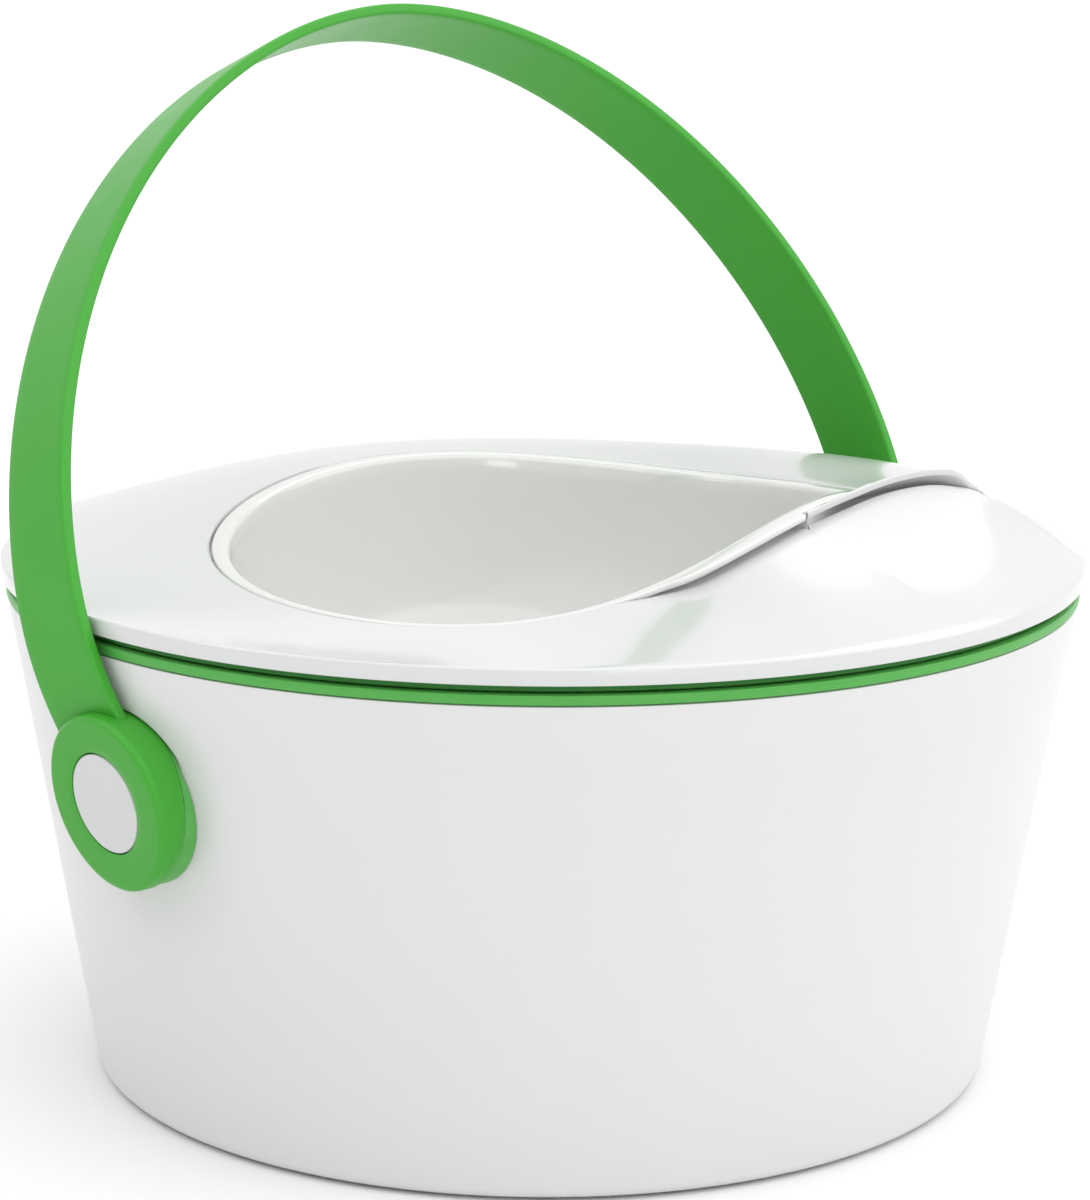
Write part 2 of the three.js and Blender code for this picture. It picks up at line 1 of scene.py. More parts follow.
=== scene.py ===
"""Visual model of a child's portable potty with a swinging carry handle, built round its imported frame.

Lengths in the classes are in millimetres and azimuths in degrees from +X towards +Y. Meshes are in metres.
"""

import json
import logging
import math
from dataclasses import dataclass, field
from enum import Enum
from typing import Callable, ClassVar, Sequence

import bpy
from mathutils import Matrix, Vector


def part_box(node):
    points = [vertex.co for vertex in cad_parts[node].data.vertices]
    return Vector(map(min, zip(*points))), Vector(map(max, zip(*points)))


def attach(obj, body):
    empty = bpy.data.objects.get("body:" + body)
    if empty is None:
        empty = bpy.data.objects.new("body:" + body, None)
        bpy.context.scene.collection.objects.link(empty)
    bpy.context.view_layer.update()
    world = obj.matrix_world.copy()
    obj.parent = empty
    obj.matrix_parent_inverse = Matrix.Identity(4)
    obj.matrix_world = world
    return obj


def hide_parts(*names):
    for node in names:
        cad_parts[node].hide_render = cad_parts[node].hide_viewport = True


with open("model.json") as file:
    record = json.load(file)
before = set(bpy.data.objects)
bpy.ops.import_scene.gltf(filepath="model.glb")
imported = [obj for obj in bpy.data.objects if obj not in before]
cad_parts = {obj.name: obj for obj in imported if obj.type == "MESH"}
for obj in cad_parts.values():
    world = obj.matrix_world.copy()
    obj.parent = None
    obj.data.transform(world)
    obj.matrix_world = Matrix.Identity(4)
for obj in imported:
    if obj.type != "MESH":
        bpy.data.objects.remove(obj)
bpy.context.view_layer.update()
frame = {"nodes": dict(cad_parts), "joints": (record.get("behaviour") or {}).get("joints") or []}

MM = 0.001
GAP = 0.3
ROUND_STEPS = 240
PIVOT_STEPS = 128
PIVOT_HEIGHT = frame["joints"][0]["pos_m"][2] / MM

Point = tuple[float, float]
Colour = tuple[float, float, float]

log = logging.getLogger("potty")


class Body(Enum):
    """Rigid bodies of the frame."""

    TUB = "tub_body"
    SEAT = "seat_body"
    POT = "pot_body"
    HANDLE = "handle_body"


class Side(Enum):
    """The two ends of the pivot axis."""

    LEFT = -1
    RIGHT = 1

    @property
    def label(self) -> str:
        """The side's name as the nodes spell it."""
        return self.name.lower()


# ------------------------------------------------------------------ small maths


def ease(value: float, start: float, end: float) -> float:
    """Rises smoothly from 0 at start to 1 at end.

    Args:
        value: Where to read it.
        start: Value where it is still 0.
        end: Value where it reaches 1.

    Returns:
        The eased share.
    """
    share = min(max((value - start) / (end - start), 0.0), 1.0)
    return share * share * (3 - 2 * share)


def mix(first: float, second: float, share: float) -> float:
    """The value between two others at a share of the way."""
    return first + (second - first) * share


def turn_from(start: float, azimuth: float) -> float:
    """The smallest turn from one azimuth to another, in degrees."""
    return (azimuth - start + 180) % 360 - 180


def arc(centre: Point, radius: float, start: float, end: float, steps: int) -> list[Point]:
    """Points along an arc.

    Args:
        centre: Middle of the arc.
        radius: Its radius.
        start: First angle in degrees.
        end: Last angle in degrees.
        steps: Number of chords.

    Returns:
        The points from start to end.
    """
    angles = (math.radians(mix(start, end, k / steps)) for k in range(steps + 1))
    return [(centre[0] + radius * math.cos(a), centre[1] + radius * math.sin(a)) for a in angles]


# ------------------------------------------------------------------ modelling bench


class Bench:
    """The steps that every sub-assembly shares, done with the modelling operators."""

    MERGE = 1e-6
    RULE_START = 100.0
    RULE_STEP = 0.5

    @staticmethod
    def clear() -> None:
        """Leaves edit mode and selects nothing."""
        if bpy.context.object is not None and bpy.context.object.mode != "OBJECT":
            bpy.ops.object.mode_set(mode="OBJECT")
        bpy.ops.object.select_all(action="DESELECT")

    @staticmethod
    def take(piece: bpy.types.Object) -> None:
        """Makes one piece the active and only selected object."""
        Bench.clear()
        piece.select_set(True)
        bpy.context.view_layer.objects.active = piece

    @staticmethod
    def named(name: str) -> bpy.types.Object:
        """Names the active object and its mesh, and puts its place into the mesh."""
        piece = bpy.context.object
        piece.name = piece.data.name = name
        bpy.ops.object.transform_apply(location=True, rotation=True, scale=True)
        return piece

    @staticmethod
    def outline(name: str, points: Sequence[Point], closed: bool) -> bpy.types.Object:
        """Draws a section in the XZ plane, one corner extruded from point to point.

        Args:
            name: Name of the new object.
            points: The section's (x, z) corners.
            closed: Whether the last corner joins the first.

        Returns:
            The wire object.
        """
        Bench.clear()
        first = Vector((points[0][0], 0, points[0][1])) * MM
        bpy.ops.mesh.primitive_plane_add(size=MM, location=first)
        bpy.ops.object.mode_set(mode="EDIT")
        bpy.ops.mesh.merge(type="CENTER")
        for (x0, z0), (x1, z1) in zip(points, points[1:]):
            step = ((x1 - x0) * MM, 0, (z1 - z0) * MM)
            bpy.ops.mesh.extrude_region_move(TRANSFORM_OT_translate={"value": step})
        bpy.ops.object.mode_set(mode="OBJECT")
        wire = Bench.named(name)
        if closed:
            ends = {0, len(points) - 1}
            for vertex in wire.data.vertices:
                vertex.select = vertex.index in ends
            bpy.ops.object.mode_set(mode="EDIT")
            bpy.ops.mesh.edge_face_add()
            bpy.ops.object.mode_set(mode="OBJECT")
        return wire

    @staticmethod
    def spin(
        piece: bpy.types.Object,
        steps: int,
        axis: Sequence[float] = (0, 0, 1),
        centre: Sequence[float] = (0, 0, 0),
    ) -> None:
        """Spins a wire section through a full turn and merges it where the turn meets its start.

        Args:
            piece: The wire object.
            steps: Number of facets round the turn.
            axis: Direction of the axis.
            centre: A point on the axis, in metres.
        """
        Bench.take(piece)
        bpy.ops.object.mode_set(mode="EDIT")
        bpy.ops.mesh.select_all(action="SELECT")
        bpy.ops.mesh.spin(steps=steps, angle=math.tau, center=centre, axis=axis)
        bpy.ops.mesh.select_all(action="SELECT")
        bpy.ops.mesh.remove_doubles(threshold=Bench.MERGE)
        bpy.ops.object.mode_set(mode="OBJECT")

    @staticmethod
    def close(piece: bpy.types.Object) -> None:
        """Merges the doubled corners of a shell and turns its faces outwards."""
        Bench.take(piece)
        bpy.ops.object.mode_set(mode="EDIT")
        bpy.ops.mesh.select_all(action="SELECT")
        bpy.ops.mesh.remove_doubles(threshold=Bench.MERGE)
        bpy.ops.mesh.dissolve_degenerate(threshold=Bench.MERGE)
        bpy.ops.mesh.select_all(action="SELECT")
        bpy.ops.mesh.normals_make_consistent(inside=False)
        bpy.ops.object.mode_set(mode="OBJECT")

    @staticmethod
    def lathe(
        name: str, points: Sequence[Point], closed: bool = False, steps: int = ROUND_STEPS
    ) -> bpy.types.Object:
        """Turns a section round the upright axis.

        Args:
            name: Name of the new object.
            points: The section's (radius, height) corners.
            closed: Whether the section is a ring that doesn't reach the axis.
            steps: Number of facets round the turn.

        Returns:
            The closed shell.
        """
        piece = Bench.outline(name, points, closed)
        Bench.spin(piece, steps)
        Bench.close(piece)
        return piece

    @staticmethod
    def lathe_on_pivot(
        name: str, points: Sequence[Point], closed: bool = False, steps: int = PIVOT_STEPS
    ) -> bpy.types.Object:
        """Turns a section round the handle's pivot axis.

        Args:
            name: Name of the new object.
            points: The section's (x, radius) corners.
            closed: Whether the section is a ring that doesn't reach the axis.
            steps: Number of facets round the turn.

        Returns:
            The closed shell.
        """
        placed = [(x, PIVOT_HEIGHT + radius) for x, radius in points]
        piece = Bench.outline(name, placed, closed)
        Bench.spin(piece, steps, (1, 0, 0), (0, 0, PIVOT_HEIGHT * MM))
        Bench.close(piece)
        return piece

    @staticmethod
    def shaped(
        name: str, section: Callable[[float], list[Point]], closed: bool, places: Sequence[float]
    ) -> bpy.types.Object:
        """Spins a ruled outline and then sets each of its sections to its own shape.

        Args:
            name: Name of the new object.
            section: Gives the (radius, height) corners at an azimuth, always the same number.
            closed: Whether the section joins its own start.
            places: Azimuths of the sections, in order round the turn.

        Returns:
            The closed shell.
        """
        count = len(section(0.0))
        rule = [(Bench.RULE_START + Bench.RULE_STEP * k, 0.0) for k in range(count)]
        piece = Bench.outline(name, rule, closed)
        steps = len(places)
        Bench.spin(piece, steps)
        sections = [section(place) for place in places]
        for vertex in piece.data.vertices:
            radius = math.hypot(vertex.co.x, vertex.co.y) / MM
            station = round((radius - Bench.RULE_START) / Bench.RULE_STEP)
            step = round(math.degrees(math.atan2(vertex.co.y, vertex.co.x)) * steps / 360) % steps
            new_radius, height = sections[step][station]
            angle = math.radians(places[step])
            vertex.co = Vector((new_radius * math.cos(angle), new_radius * math.sin(angle), height)) * MM
        Bench.close(piece)
        return piece

    @staticmethod
    def combine(piece: bpy.types.Object, tool: bpy.types.Object, operation: str) -> None:
        """Joins, cuts or intersects a piece with a tool, which is used up.

        Args:
            piece: The piece that is kept.
            tool: The solid that acts on it.
            operation: UNION, DIFFERENCE or INTERSECT.
        """
        Bench.take(piece)
        modifier = piece.modifiers.new("combine", "BOOLEAN")
        modifier.operation = operation
        modifier.solver = "EXACT"
        modifier.object = tool
        bpy.ops.object.modifier_apply(modifier=modifier.name)
        bpy.data.objects.remove(tool)

    @staticmethod
    def bevel(piece: bpy.types.Object, width: float, segments: int, angle: float = 40.0) -> None:
        """Rounds the edges of a piece that are sharper than an angle.

        Args:
            piece: The piece.
            width: Width of the bevel.
            segments: Number of facets across it.
            angle: Sharpest angle, in degrees, that stays.
        """
        Bench.take(piece)
        modifier = piece.modifiers.new("soften", "BEVEL")
        modifier.width = width * MM
        modifier.segments = segments
        modifier.limit_method = "ANGLE"
        modifier.angle_limit = math.radians(angle)
        modifier.harden_normals = False
        bpy.ops.object.modifier_apply(modifier=modifier.name)

    @staticmethod
    def smooth(piece: bpy.types.Object, angle: float = 35.0) -> None:
        """Shades a piece smoothly, apart from edges sharper than an angle in degrees."""
        Bench.take(piece)
        bpy.ops.object.shade_smooth_by_angle(angle=math.radians(angle))

    @staticmethod
    def dress(
        piece: bpy.types.Object, body: Body, slot: str, finish: bpy.types.Material, stands_for: Sequence[str]
    ) -> bpy.types.Object:
        """Gives a finished piece its material, its body and the nodes that it stands for.

        Args:
            piece: The finished piece.
            body: The body that it moves with.
            slot: The record's material slot; not used.
            finish: Its material.
            stands_for: The frame nodes that it replaces.

        Returns:
            The same piece.
        """
        piece.data.materials.clear()
        piece.data.materials.append(finish)
        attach(piece, body.value)
        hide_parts(*stands_for)
        log.info("%s: %d faces on %s", piece.name, len(piece.data.polygons), body.value)
        return piece


# ------------------------------------------------------------------ shader effects


class Effect(Enum):
    """Surface effects that several finishes share."""

    GRAIN = "moulded_grain"
    MOTTLE = "tone_mottle"
    SCUFFS = "fine_scuffs"
    # painted highlight along convex edges
    EDGES = "painted_edge_highlight"


class EffectKit:
    """Builds each shared shader group once, ready to be placed in the materials."""

    WAVE_SCALE = 38.0
    WIPE_SCALE = 14.0
    SCUFF_SCALE = 90.0
    SCUFF_RANGE = (0.1, 0.45)
    # noise scale and pointiness range of the painted highlight on convex edges
    HIGHLIGHT_BREAK_SCALE = 160.0
    HIGHLIGHT_POINTINESS_RANGE = (0.52, 0.62)

    def __init__(self) -> None:
        """Builds all the groups."""
        self.groups: dict[Effect, bpy.types.NodeTree] = {
            Effect.GRAIN: self._grain(),
            Effect.MOTTLE: self._mottle(),
            Effect.SCUFFS: self._scuffs(),
            Effect.EDGES: self._edges(),
        }

    @staticmethod
    def _new(effect: Effect, inputs: dict[str, str], output: tuple[str, str]) -> bpy.types.NodeTree:
        """Makes an empty group.

        Args:
            effect: The effect that it holds.
            inputs: Name and socket type of each input.
            output: Name and socket type of its output.

        Returns:
            The group, with its input and output nodes.
        """
        tree = bpy.data.node_groups.new(effect.value, "ShaderNodeTree")
        for name, kind in inputs.items():
            tree.interface.new_socket(name=name, in_out="INPUT", socket_type=kind)
        tree.interface.new_socket(name=output[0], in_out="OUTPUT", socket_type=output[1])
        tree.nodes.new("NodeGroupInput").name = "in"
        tree.nodes.new("NodeGroupOutput").name = "out"
        return tree

    @staticmethod
    def _noise(
        tree: bpy.types.NodeTree, scale_from: str | None, scale: float, detail: float
    ) -> bpy.types.Node:
        """Adds a noise texture read at the group's Vector input.

        Args:
            tree: The group.
            scale_from: Name of the input that sets its scale, or None.
            scale: Its scale where no input sets it.
            detail: Its detail.

        Returns:
            The noise node.
        """
        noise = tree.nodes.new("ShaderNodeTexNoise")
        noise.inputs["Scale"].default_value = scale
        noise.inputs["Detail"].default_value = detail
        tree.links.new(tree.nodes["in"].outputs["Vector"], noise.inputs["Vector"])
        if scale_from:
            tree.links.new(tree.nodes["in"].outputs[scale_from], noise.inputs["Scale"])
        return noise

    @staticmethod
    def _maths(
        tree: bpy.types.NodeTree, operation: str, first: bpy.types.NodeSocket, second: bpy.types.NodeSocket
    ) -> bpy.types.NodeSocket:
        """Adds a maths node that works on two sockets, and gives its result."""
        node = tree.nodes.new("ShaderNodeMath")
        node.operation = operation
        for value, socket in zip((first, second), node.inputs):
            tree.links.new(value, socket)
        return node.outputs["Value"]

    def _grain(self) -> bpy.types.NodeTree:
        """Fine spark-eroded grain with a slow waviness under it, as a height."""
        sockets = {"Vector": "NodeSocketVector", "Scale": "NodeSocketFloat", "Wave": "NodeSocketFloat"}
        tree = self._new(Effect.GRAIN, sockets, ("Height", "NodeSocketFloat"))
        fine = self._noise(tree, "Scale", 1.0, 3.0)
        slow = self._noise(tree, None, self.WAVE_SCALE, 1.0)
        wave = self._maths(tree, "MULTIPLY", slow.outputs["Fac"], tree.nodes["in"].outputs["Wave"])
        height = self._maths(tree, "ADD", fine.outputs["Fac"], wave)
        tree.links.new(height, tree.nodes["out"].inputs["Height"])
        return tree

    def _mottle(self) -> bpy.types.NodeTree:
        """Slow drift of tone between two colours, as pigment lies in a moulding."""
        sockets = {"Vector": "NodeSocketVector", "Scale": "NodeSocketFloat"}
        sockets |= {"Deep": "NodeSocketColor", "Pale": "NodeSocketColor"}
        tree = self._new(Effect.MOTTLE, sockets, ("Colour", "NodeSocketColor"))
        noise = self._noise(tree, "Scale", 1.0, 4.0)
        blend = tree.nodes.new("ShaderNodeMix")
        blend.data_type = "RGBA"
        tree.links.new(noise.outputs["Fac"], blend.inputs["Factor"])
        tree.links.new(tree.nodes["in"].outputs["Deep"], blend.inputs["A"])
        tree.links.new(tree.nodes["in"].outputs["Pale"], blend.inputs["B"])
        tree.links.new(blend.outputs["Result"], tree.nodes["out"].inputs["Colour"])
        return tree

    def _scuffs(self) -> bpy.types.NodeTree:
        """Roughness that varies with handling: broad wiped patches and fine scuffs."""
        sockets = {"Vector": "NodeSocketVector", "Smooth": "NodeSocketFloat", "Worn": "NodeSocketFloat"}
        tree = self._new(Effect.SCUFFS, sockets, ("Roughness", "NodeSocketFloat"))
        broad = self._noise(tree, None, self.WIPE_SCALE, 2.0)
        fine = self._noise(tree, None, self.SCUFF_SCALE, 4.0)
        share = self._maths(tree, "MULTIPLY", broad.outputs["Fac"], fine.outputs["Fac"])
        scaled = tree.nodes.new("ShaderNodeMapRange")
        scaled.inputs["From Min"].default_value, scaled.inputs["From Max"].default_value = self.SCUFF_RANGE
        tree.links.new(share, scaled.inputs["Value"])
        tree.links.new(tree.nodes["in"].outputs["Smooth"], scaled.inputs["To Min"])
        tree.links.new(tree.nodes["in"].outputs["Worn"], scaled.inputs["To Max"])
        tree.links.new(scaled.outputs["Result"], tree.nodes["out"].inputs["Roughness"])
        return tree

    def _edges(self) -> bpy.types.NodeTree:
        """Mask of the painted highlight on outer edges, broken up so that it never runs as an even line."""
        tree = self._new(Effect.EDGES, {"Vector": "NodeSocketVector"}, ("Mask", "NodeSocketFloat"))
        shape = tree.nodes.new("ShaderNodeNewGeometry")
        outer = tree.nodes.new("ShaderNodeMapRange")
        outer.inputs["From Min"].default_value, outer.inputs["From Max"].default_value = self.HIGHLIGHT_POINTINESS_RANGE
        tree.links.new(shape.outputs["Pointiness"], outer.inputs["Value"])
        breaks = self._noise(tree, None, self.HIGHLIGHT_BREAK_SCALE, 3.0)
        mask = self._maths(tree, "MULTIPLY", outer.outputs["Result"], breaks.outputs["Fac"])
        tree.links.new(mask, tree.nodes["out"].inputs["Mask"])
        return tree


@dataclass(frozen=True)
class Finish:
    """One moulded plastic or rubber: its tones, painted edge highlight, gloss, grain and wear."""

    name: str
    deep: Colour
    pale: Colour
    edge_highlight_colour: Colour
    smooth: float
    worn: float
    grain_scale: float
    grain_depth: float
    wave: float = 0.0
    coat: float = 0.0
    coat_roughness: float = 0.05
    subsurface: float = 0.0
    specular: float = 0.5
    mottle_scale: float = 9.0
    scatter_depth: float = 2.0

    def build(self, kit: EffectKit) -> bpy.types.Material:
        """Makes the material.

        Args:
            kit: The shared effects.

        Returns:
            The material, ready to put on a piece.
        """
        material = bpy.data.materials.new(self.name)
        material.use_nodes = True
        tree = material.node_tree
        shader = next(n for n in tree.nodes if n.type == "BSDF_PRINCIPLED")
        shader.inputs["Coat Weight"].default_value = self.coat
        shader.inputs["Coat Roughness"].default_value = self.coat_roughness
        shader.inputs["Specular IOR Level"].default_value = self.specular
        shader.inputs["Subsurface Weight"].default_value = self.subsurface
        shader.inputs["Subsurface Scale"].default_value = self.scatter_depth * MM
        place = tree.nodes.new("ShaderNodeTexCoord").outputs["Object"]

        mottle = self._place(tree, kit, Effect.MOTTLE, place)
        mottle.inputs["Scale"].default_value = self.mottle_scale
        mottle.inputs["Deep"].default_value = (*self.deep, 1)
        mottle.inputs["Pale"].default_value = (*self.pale, 1)
        edges = self._place(tree, kit, Effect.EDGES, place)
        # painted highlight: the edge mask lightens convex edges towards a paler colour
        edge_highlight_mix = tree.nodes.new("ShaderNodeMix")
        edge_highlight_mix.data_type = "RGBA"
        edge_highlight_mix.inputs["B"].default_value = (*self.edge_highlight_colour, 1)
        tree.links.new(edges.outputs["Mask"], edge_highlight_mix.inputs["Factor"])
        tree.links.new(mottle.outputs["Colour"], edge_highlight_mix.inputs["A"])
        tree.links.new(edge_highlight_mix.outputs["Result"], shader.inputs["Base Color"])

        scuffs = self._place(tree, kit, Effect.SCUFFS, place)
        scuffs.inputs["Smooth"].default_value = self.smooth
        scuffs.inputs["Worn"].default_value = self.worn
        tree.links.new(scuffs.outputs["Roughness"], shader.inputs["Roughness"])

        grain = self._place(tree, kit, Effect.GRAIN, place)
        grain.inputs["Scale"].default_value = self.grain_scale
        grain.inputs["Wave"].default_value = self.wave
        bump = tree.nodes.new("ShaderNodeBump")
        bump.inputs["Strength"].default_value = 1.0
        bump.inputs["Distance"].default_value = self.grain_depth * MM
        tree.links.new(grain.outputs["Height"], bump.inputs["Height"])
        tree.links.new(bump.outputs["Normal"], shader.inputs["Normal"])
        return material

    @staticmethod
    def _place(
        tree: bpy.types.NodeTree, kit: EffectKit, effect: Effect, place: bpy.types.NodeSocket
    ) -> bpy.types.Node:
        """Places a shared effect in a material, read at the object's own coordinates."""
        node = tree.nodes.new("ShaderNodeGroup")
        node.node_tree = kit.groups[effect]
        tree.links.new(place, node.inputs["Vector"])
        return node


# The third colour of each finish is a painted highlight laid on its convex edges.
WHITE_SHELL = Finish(
    "white_shell", (0.69, 0.69, 0.688), (0.72, 0.72, 0.718), (0.77, 0.77, 0.768), 0.3, 0.36, 700, 0.0012,
    wave=14.0, coat=0.2, coat_roughness=0.16,
)
WHITE_SEAT = Finish(
    "white_seat", (0.65, 0.655, 0.655), (0.68, 0.685, 0.685), (0.74, 0.74, 0.74), 0.16, 0.22, 700, 0.001,
    wave=14.0, coat=0.4, coat_roughness=0.06,
)
WHITE_POT = Finish(
    "white_pot", (0.74, 0.738, 0.728), (0.775, 0.773, 0.763), (0.82, 0.82, 0.81), 0.12, 0.17, 700, 0.0008,
    wave=12.0, coat=0.5, coat_roughness=0.03,
)
WHITE_CAP = Finish(
    "white_cap", (0.6, 0.605, 0.61), (0.65, 0.655, 0.66), (0.82, 0.82, 0.82), 0.3, 0.4, 1100, 0.006,
)
GREEN_HANDLE = Finish(
    "green_handle", (0.042, 0.32, 0.024), (0.06, 0.39, 0.034), (0.14, 0.5, 0.11), 0.3, 0.4, 1500, 0.006,
    subsurface=0.04, specular=0.26,
)
GREEN_TRIM = Finish(
    "green_trim", (0.05, 0.32, 0.04), (0.07, 0.4, 0.055), (0.18, 0.52, 0.15), 0.34, 0.48, 1500, 0.01,
)
# Darker than the trim green: painted shade for the seal's place under the seat's overhanging edge.
GREEN_SEAL = Finish(
    "green_seal", (0.02, 0.16, 0.02), (0.03, 0.22, 0.03), (0.08, 0.3, 0.07), 0.5, 0.65, 1200, 0.02,
)
FOOT_RUBBER = Finish(
    "foot_rubber", (0.3, 0.31, 0.31), (0.4, 0.41, 0.41), (0.5, 0.5, 0.5), 0.6, 0.8, 1800, 0.03,
)
PIVOT_PLASTIC = Finish(
    "pivot_plastic", (0.66, 0.67, 0.66), (0.74, 0.75, 0.74), (0.82, 0.82, 0.82), 0.4, 0.55, 1300, 0.01,
)


# ------------------------------------------------------------------ tub


@dataclass
class Tub:
    """The tapered tub with its rim ring, feet and the thick patches that carry the pivots."""

    base_radius: float = 127.4
    rim_radius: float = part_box("tub")[1].x / MM
    height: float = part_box("tub")[1].z / MM
    bottom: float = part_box("tub")[0].z / MM
    wall: float = 3.0
    floor: float = 3.4
    corner: float = 4.0
    rim_round: float = 0.7
    rim_ease: float = 0.2
    ring_width: float = 4.6
    mouth_ease: float = 0.4
    wall_rings: tuple[float, ...] = (30.0, 60.0, 90.0, 120.0)
    base_recess: float = 0.6
    base_recess_radius: float = 78.0
    base_chamfer: float = 1.0
    patch_radius: float = 27.0
    patch_face: float = 138.5
    patch_sunk: float = 1.0
    pocket_radius: float = 24.6
    pocket_floor: float = 144.0
    spot_radius: float = 10.8
    spot_start: float = 132.0
    cut_past: float = 2.0
    bore: float = 5.0
    foot_radius: float = 9.0
    foot_circle: float = 100.0
    foot_count: int = 4
    foot_pocket_depth: float = 3.0
    foot_pocket_middle: float = 0.9
    foot_groove: float = 0.35
    foot_dimple: tuple[float, float] = (1.6, 2.0)
    foot_grooves: tuple[tuple[float, ...], ...] = ((3.6, 4.0, 4.6, 5.0), (6.4, 6.8, 7.2, 7.5))

    def radius_at(self, height: float) -> float:
        """Outer radius of the wall at a height."""
        return mix(self.base_radius, self.rim_radius, height / self.height)

    def build(self, finish: bpy.types.Material) -> bpy.types.Object:
        """Models the tub.

        Args:
            finish: Its material.

        Returns:
            The tub.
        """
        low, corner = self.bottom, self.corner
        wall_foot = self.radius_at(low + corner)
        recess, recess_radius = low + self.base_recess, self.base_recess_radius
        outside = [(0.0, recess), (recess_radius, recess), (recess_radius + self.base_chamfer, low)]
        outside += arc((wall_foot - corner, low + corner), corner, -90, -9, 8)
        outside += [(self.radius_at(h), h) for h in (*self.wall_rings, self.height - self.rim_round)]
        outside.append((self.rim_radius - self.rim_ease, self.height - self.rim_ease))
        outside.append((self.rim_radius - self.rim_round, self.height))
        inner_floor = low + self.floor
        inner_foot = self.radius_at(inner_floor + corner) - self.wall
        inside = [(self.rim_radius - self.wall + self.mouth_ease, self.height)]
        rings = (self.height - self.mouth_ease, *reversed(self.wall_rings))
        inside += [(self.radius_at(h) - self.wall, h) for h in rings]
        inside += arc((inner_foot - corner, inner_floor + corner), corner, 0, -90, 6)
        inside += [(0.0, inner_floor)]
        tub = Bench.lathe("tub_shell", outside + inside)
        self._carry_pivots(tub)
        self._sink_feet(tub)
        Bench.smooth(tub, 30)
        return Bench.dress(tub, Body.TUB, "white_shell", finish, ["tub"])

    def _carry_pivots(self, tub: bpy.types.Object) -> None:
        """Adds the thick patch on each side, and cuts its pocket, spot face and bore."""
        solid = [(0.0, self.bottom), (self.radius_at(self.bottom) - self.patch_sunk, self.bottom)]
        solid += [(self.rim_radius - self.patch_sunk, self.height), (0.0, self.height)]
        past = self.rim_radius + self.cut_past
        for side in Side:
            ends = [self.patch_face * side.value, past * side.value]
            patch = self.rod("patch", self.patch_radius, *ends)
            Bench.combine(patch, Bench.lathe("core", solid, steps=96), "INTERSECT")
            Bench.combine(tub, patch, "UNION")
            pocket = self.rod("pocket", self.pocket_radius, self.pocket_floor * side.value, ends[1])
            Bench.combine(tub, pocket, "DIFFERENCE")
            spot = self.rod("spot", self.spot_radius, self.spot_start * side.value, ends[0])
            Bench.combine(tub, spot, "DIFFERENCE")
        bore = self.rod("bore", self.bore, -past, past)
        Bench.combine(tub, bore, "DIFFERENCE")

    @staticmethod
    def rod(name: str, radius: float, start: float, end: float) -> bpy.types.Object:
        """A round bar along the pivot axis between two places."""
        Bench.clear()
        bpy.ops.mesh.primitive_cylinder_add(
            vertices=96, radius=radius * MM, depth=abs(end - start) * MM,
            location=((start + end) / 2 * MM, 0, PIVOT_HEIGHT * MM), rotation=(0, math.pi / 2, 0),
        )
        return Bench.named(name)

    def _foot_places(self) -> list[Vector]:
        """Middles of the feet, on the floor."""
        turns = (math.radians(45 + 360 * k / self.foot_count) for k in range(self.foot_count))
        return [Vector((math.cos(t), math.sin(t), 0)) * self.foot_circle * MM for t in turns]

    def _sink_feet(self, tub: bpy.types.Object) -> None:
        """Cuts a round pocket for each foot."""
        for place in self._foot_places():
            Bench.clear()
            bpy.ops.mesh.primitive_cylinder_add(
                vertices=64, radius=(self.foot_radius + GAP) * MM, depth=self.foot_pocket_depth * MM,
                location=place + Vector((0, 0, self.foot_pocket_middle * MM)),
            )
            Bench.combine(tub, Bench.named("foot_pocket"), "DIFFERENCE")

    def build_feet(self, finish: bpy.types.Material) -> list[bpy.types.Object]:
        """Models one ribbed anti-slip foot and copies it to each place.

        Args:
            finish: Material of the feet.

        Returns:
            The feet.
        """
        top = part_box("foot_1")[1].z / MM
        radius, groove = self.foot_radius, self.foot_groove
        section = [(0.0, groove), (self.foot_dimple[0], groove), (self.foot_dimple[1], 0.0)]
        for start, floor_start, floor_end, end in self.foot_grooves:
            section += [(start, 0.0), (floor_start, groove), (floor_end, groove), (end, 0.0)]
        section += [(radius - 0.4, 0.0), (radius - 0.1, 0.1), (radius, 0.4), (radius, top), (0.0, top)]
        pattern = Bench.lathe("anti_slip_foot", section, steps=64)
        feet = []
        for number, place in enumerate(self._foot_places(), start=1):
            foot = pattern.copy()
            foot.data = pattern.data.copy()
            foot.name = foot.data.name = f"anti_slip_foot_{number}"
            bpy.context.scene.collection.objects.link(foot)
            foot.location = place
            Bench.take(foot)
            bpy.ops.object.transform_apply(location=True, rotation=False, scale=False)
            Bench.smooth(foot)
            feet.append(Bench.dress(foot, Body.TUB, "foot_rubber", finish, [f"foot_{number}"]))
        bpy.data.objects.remove(pattern)
        return feet

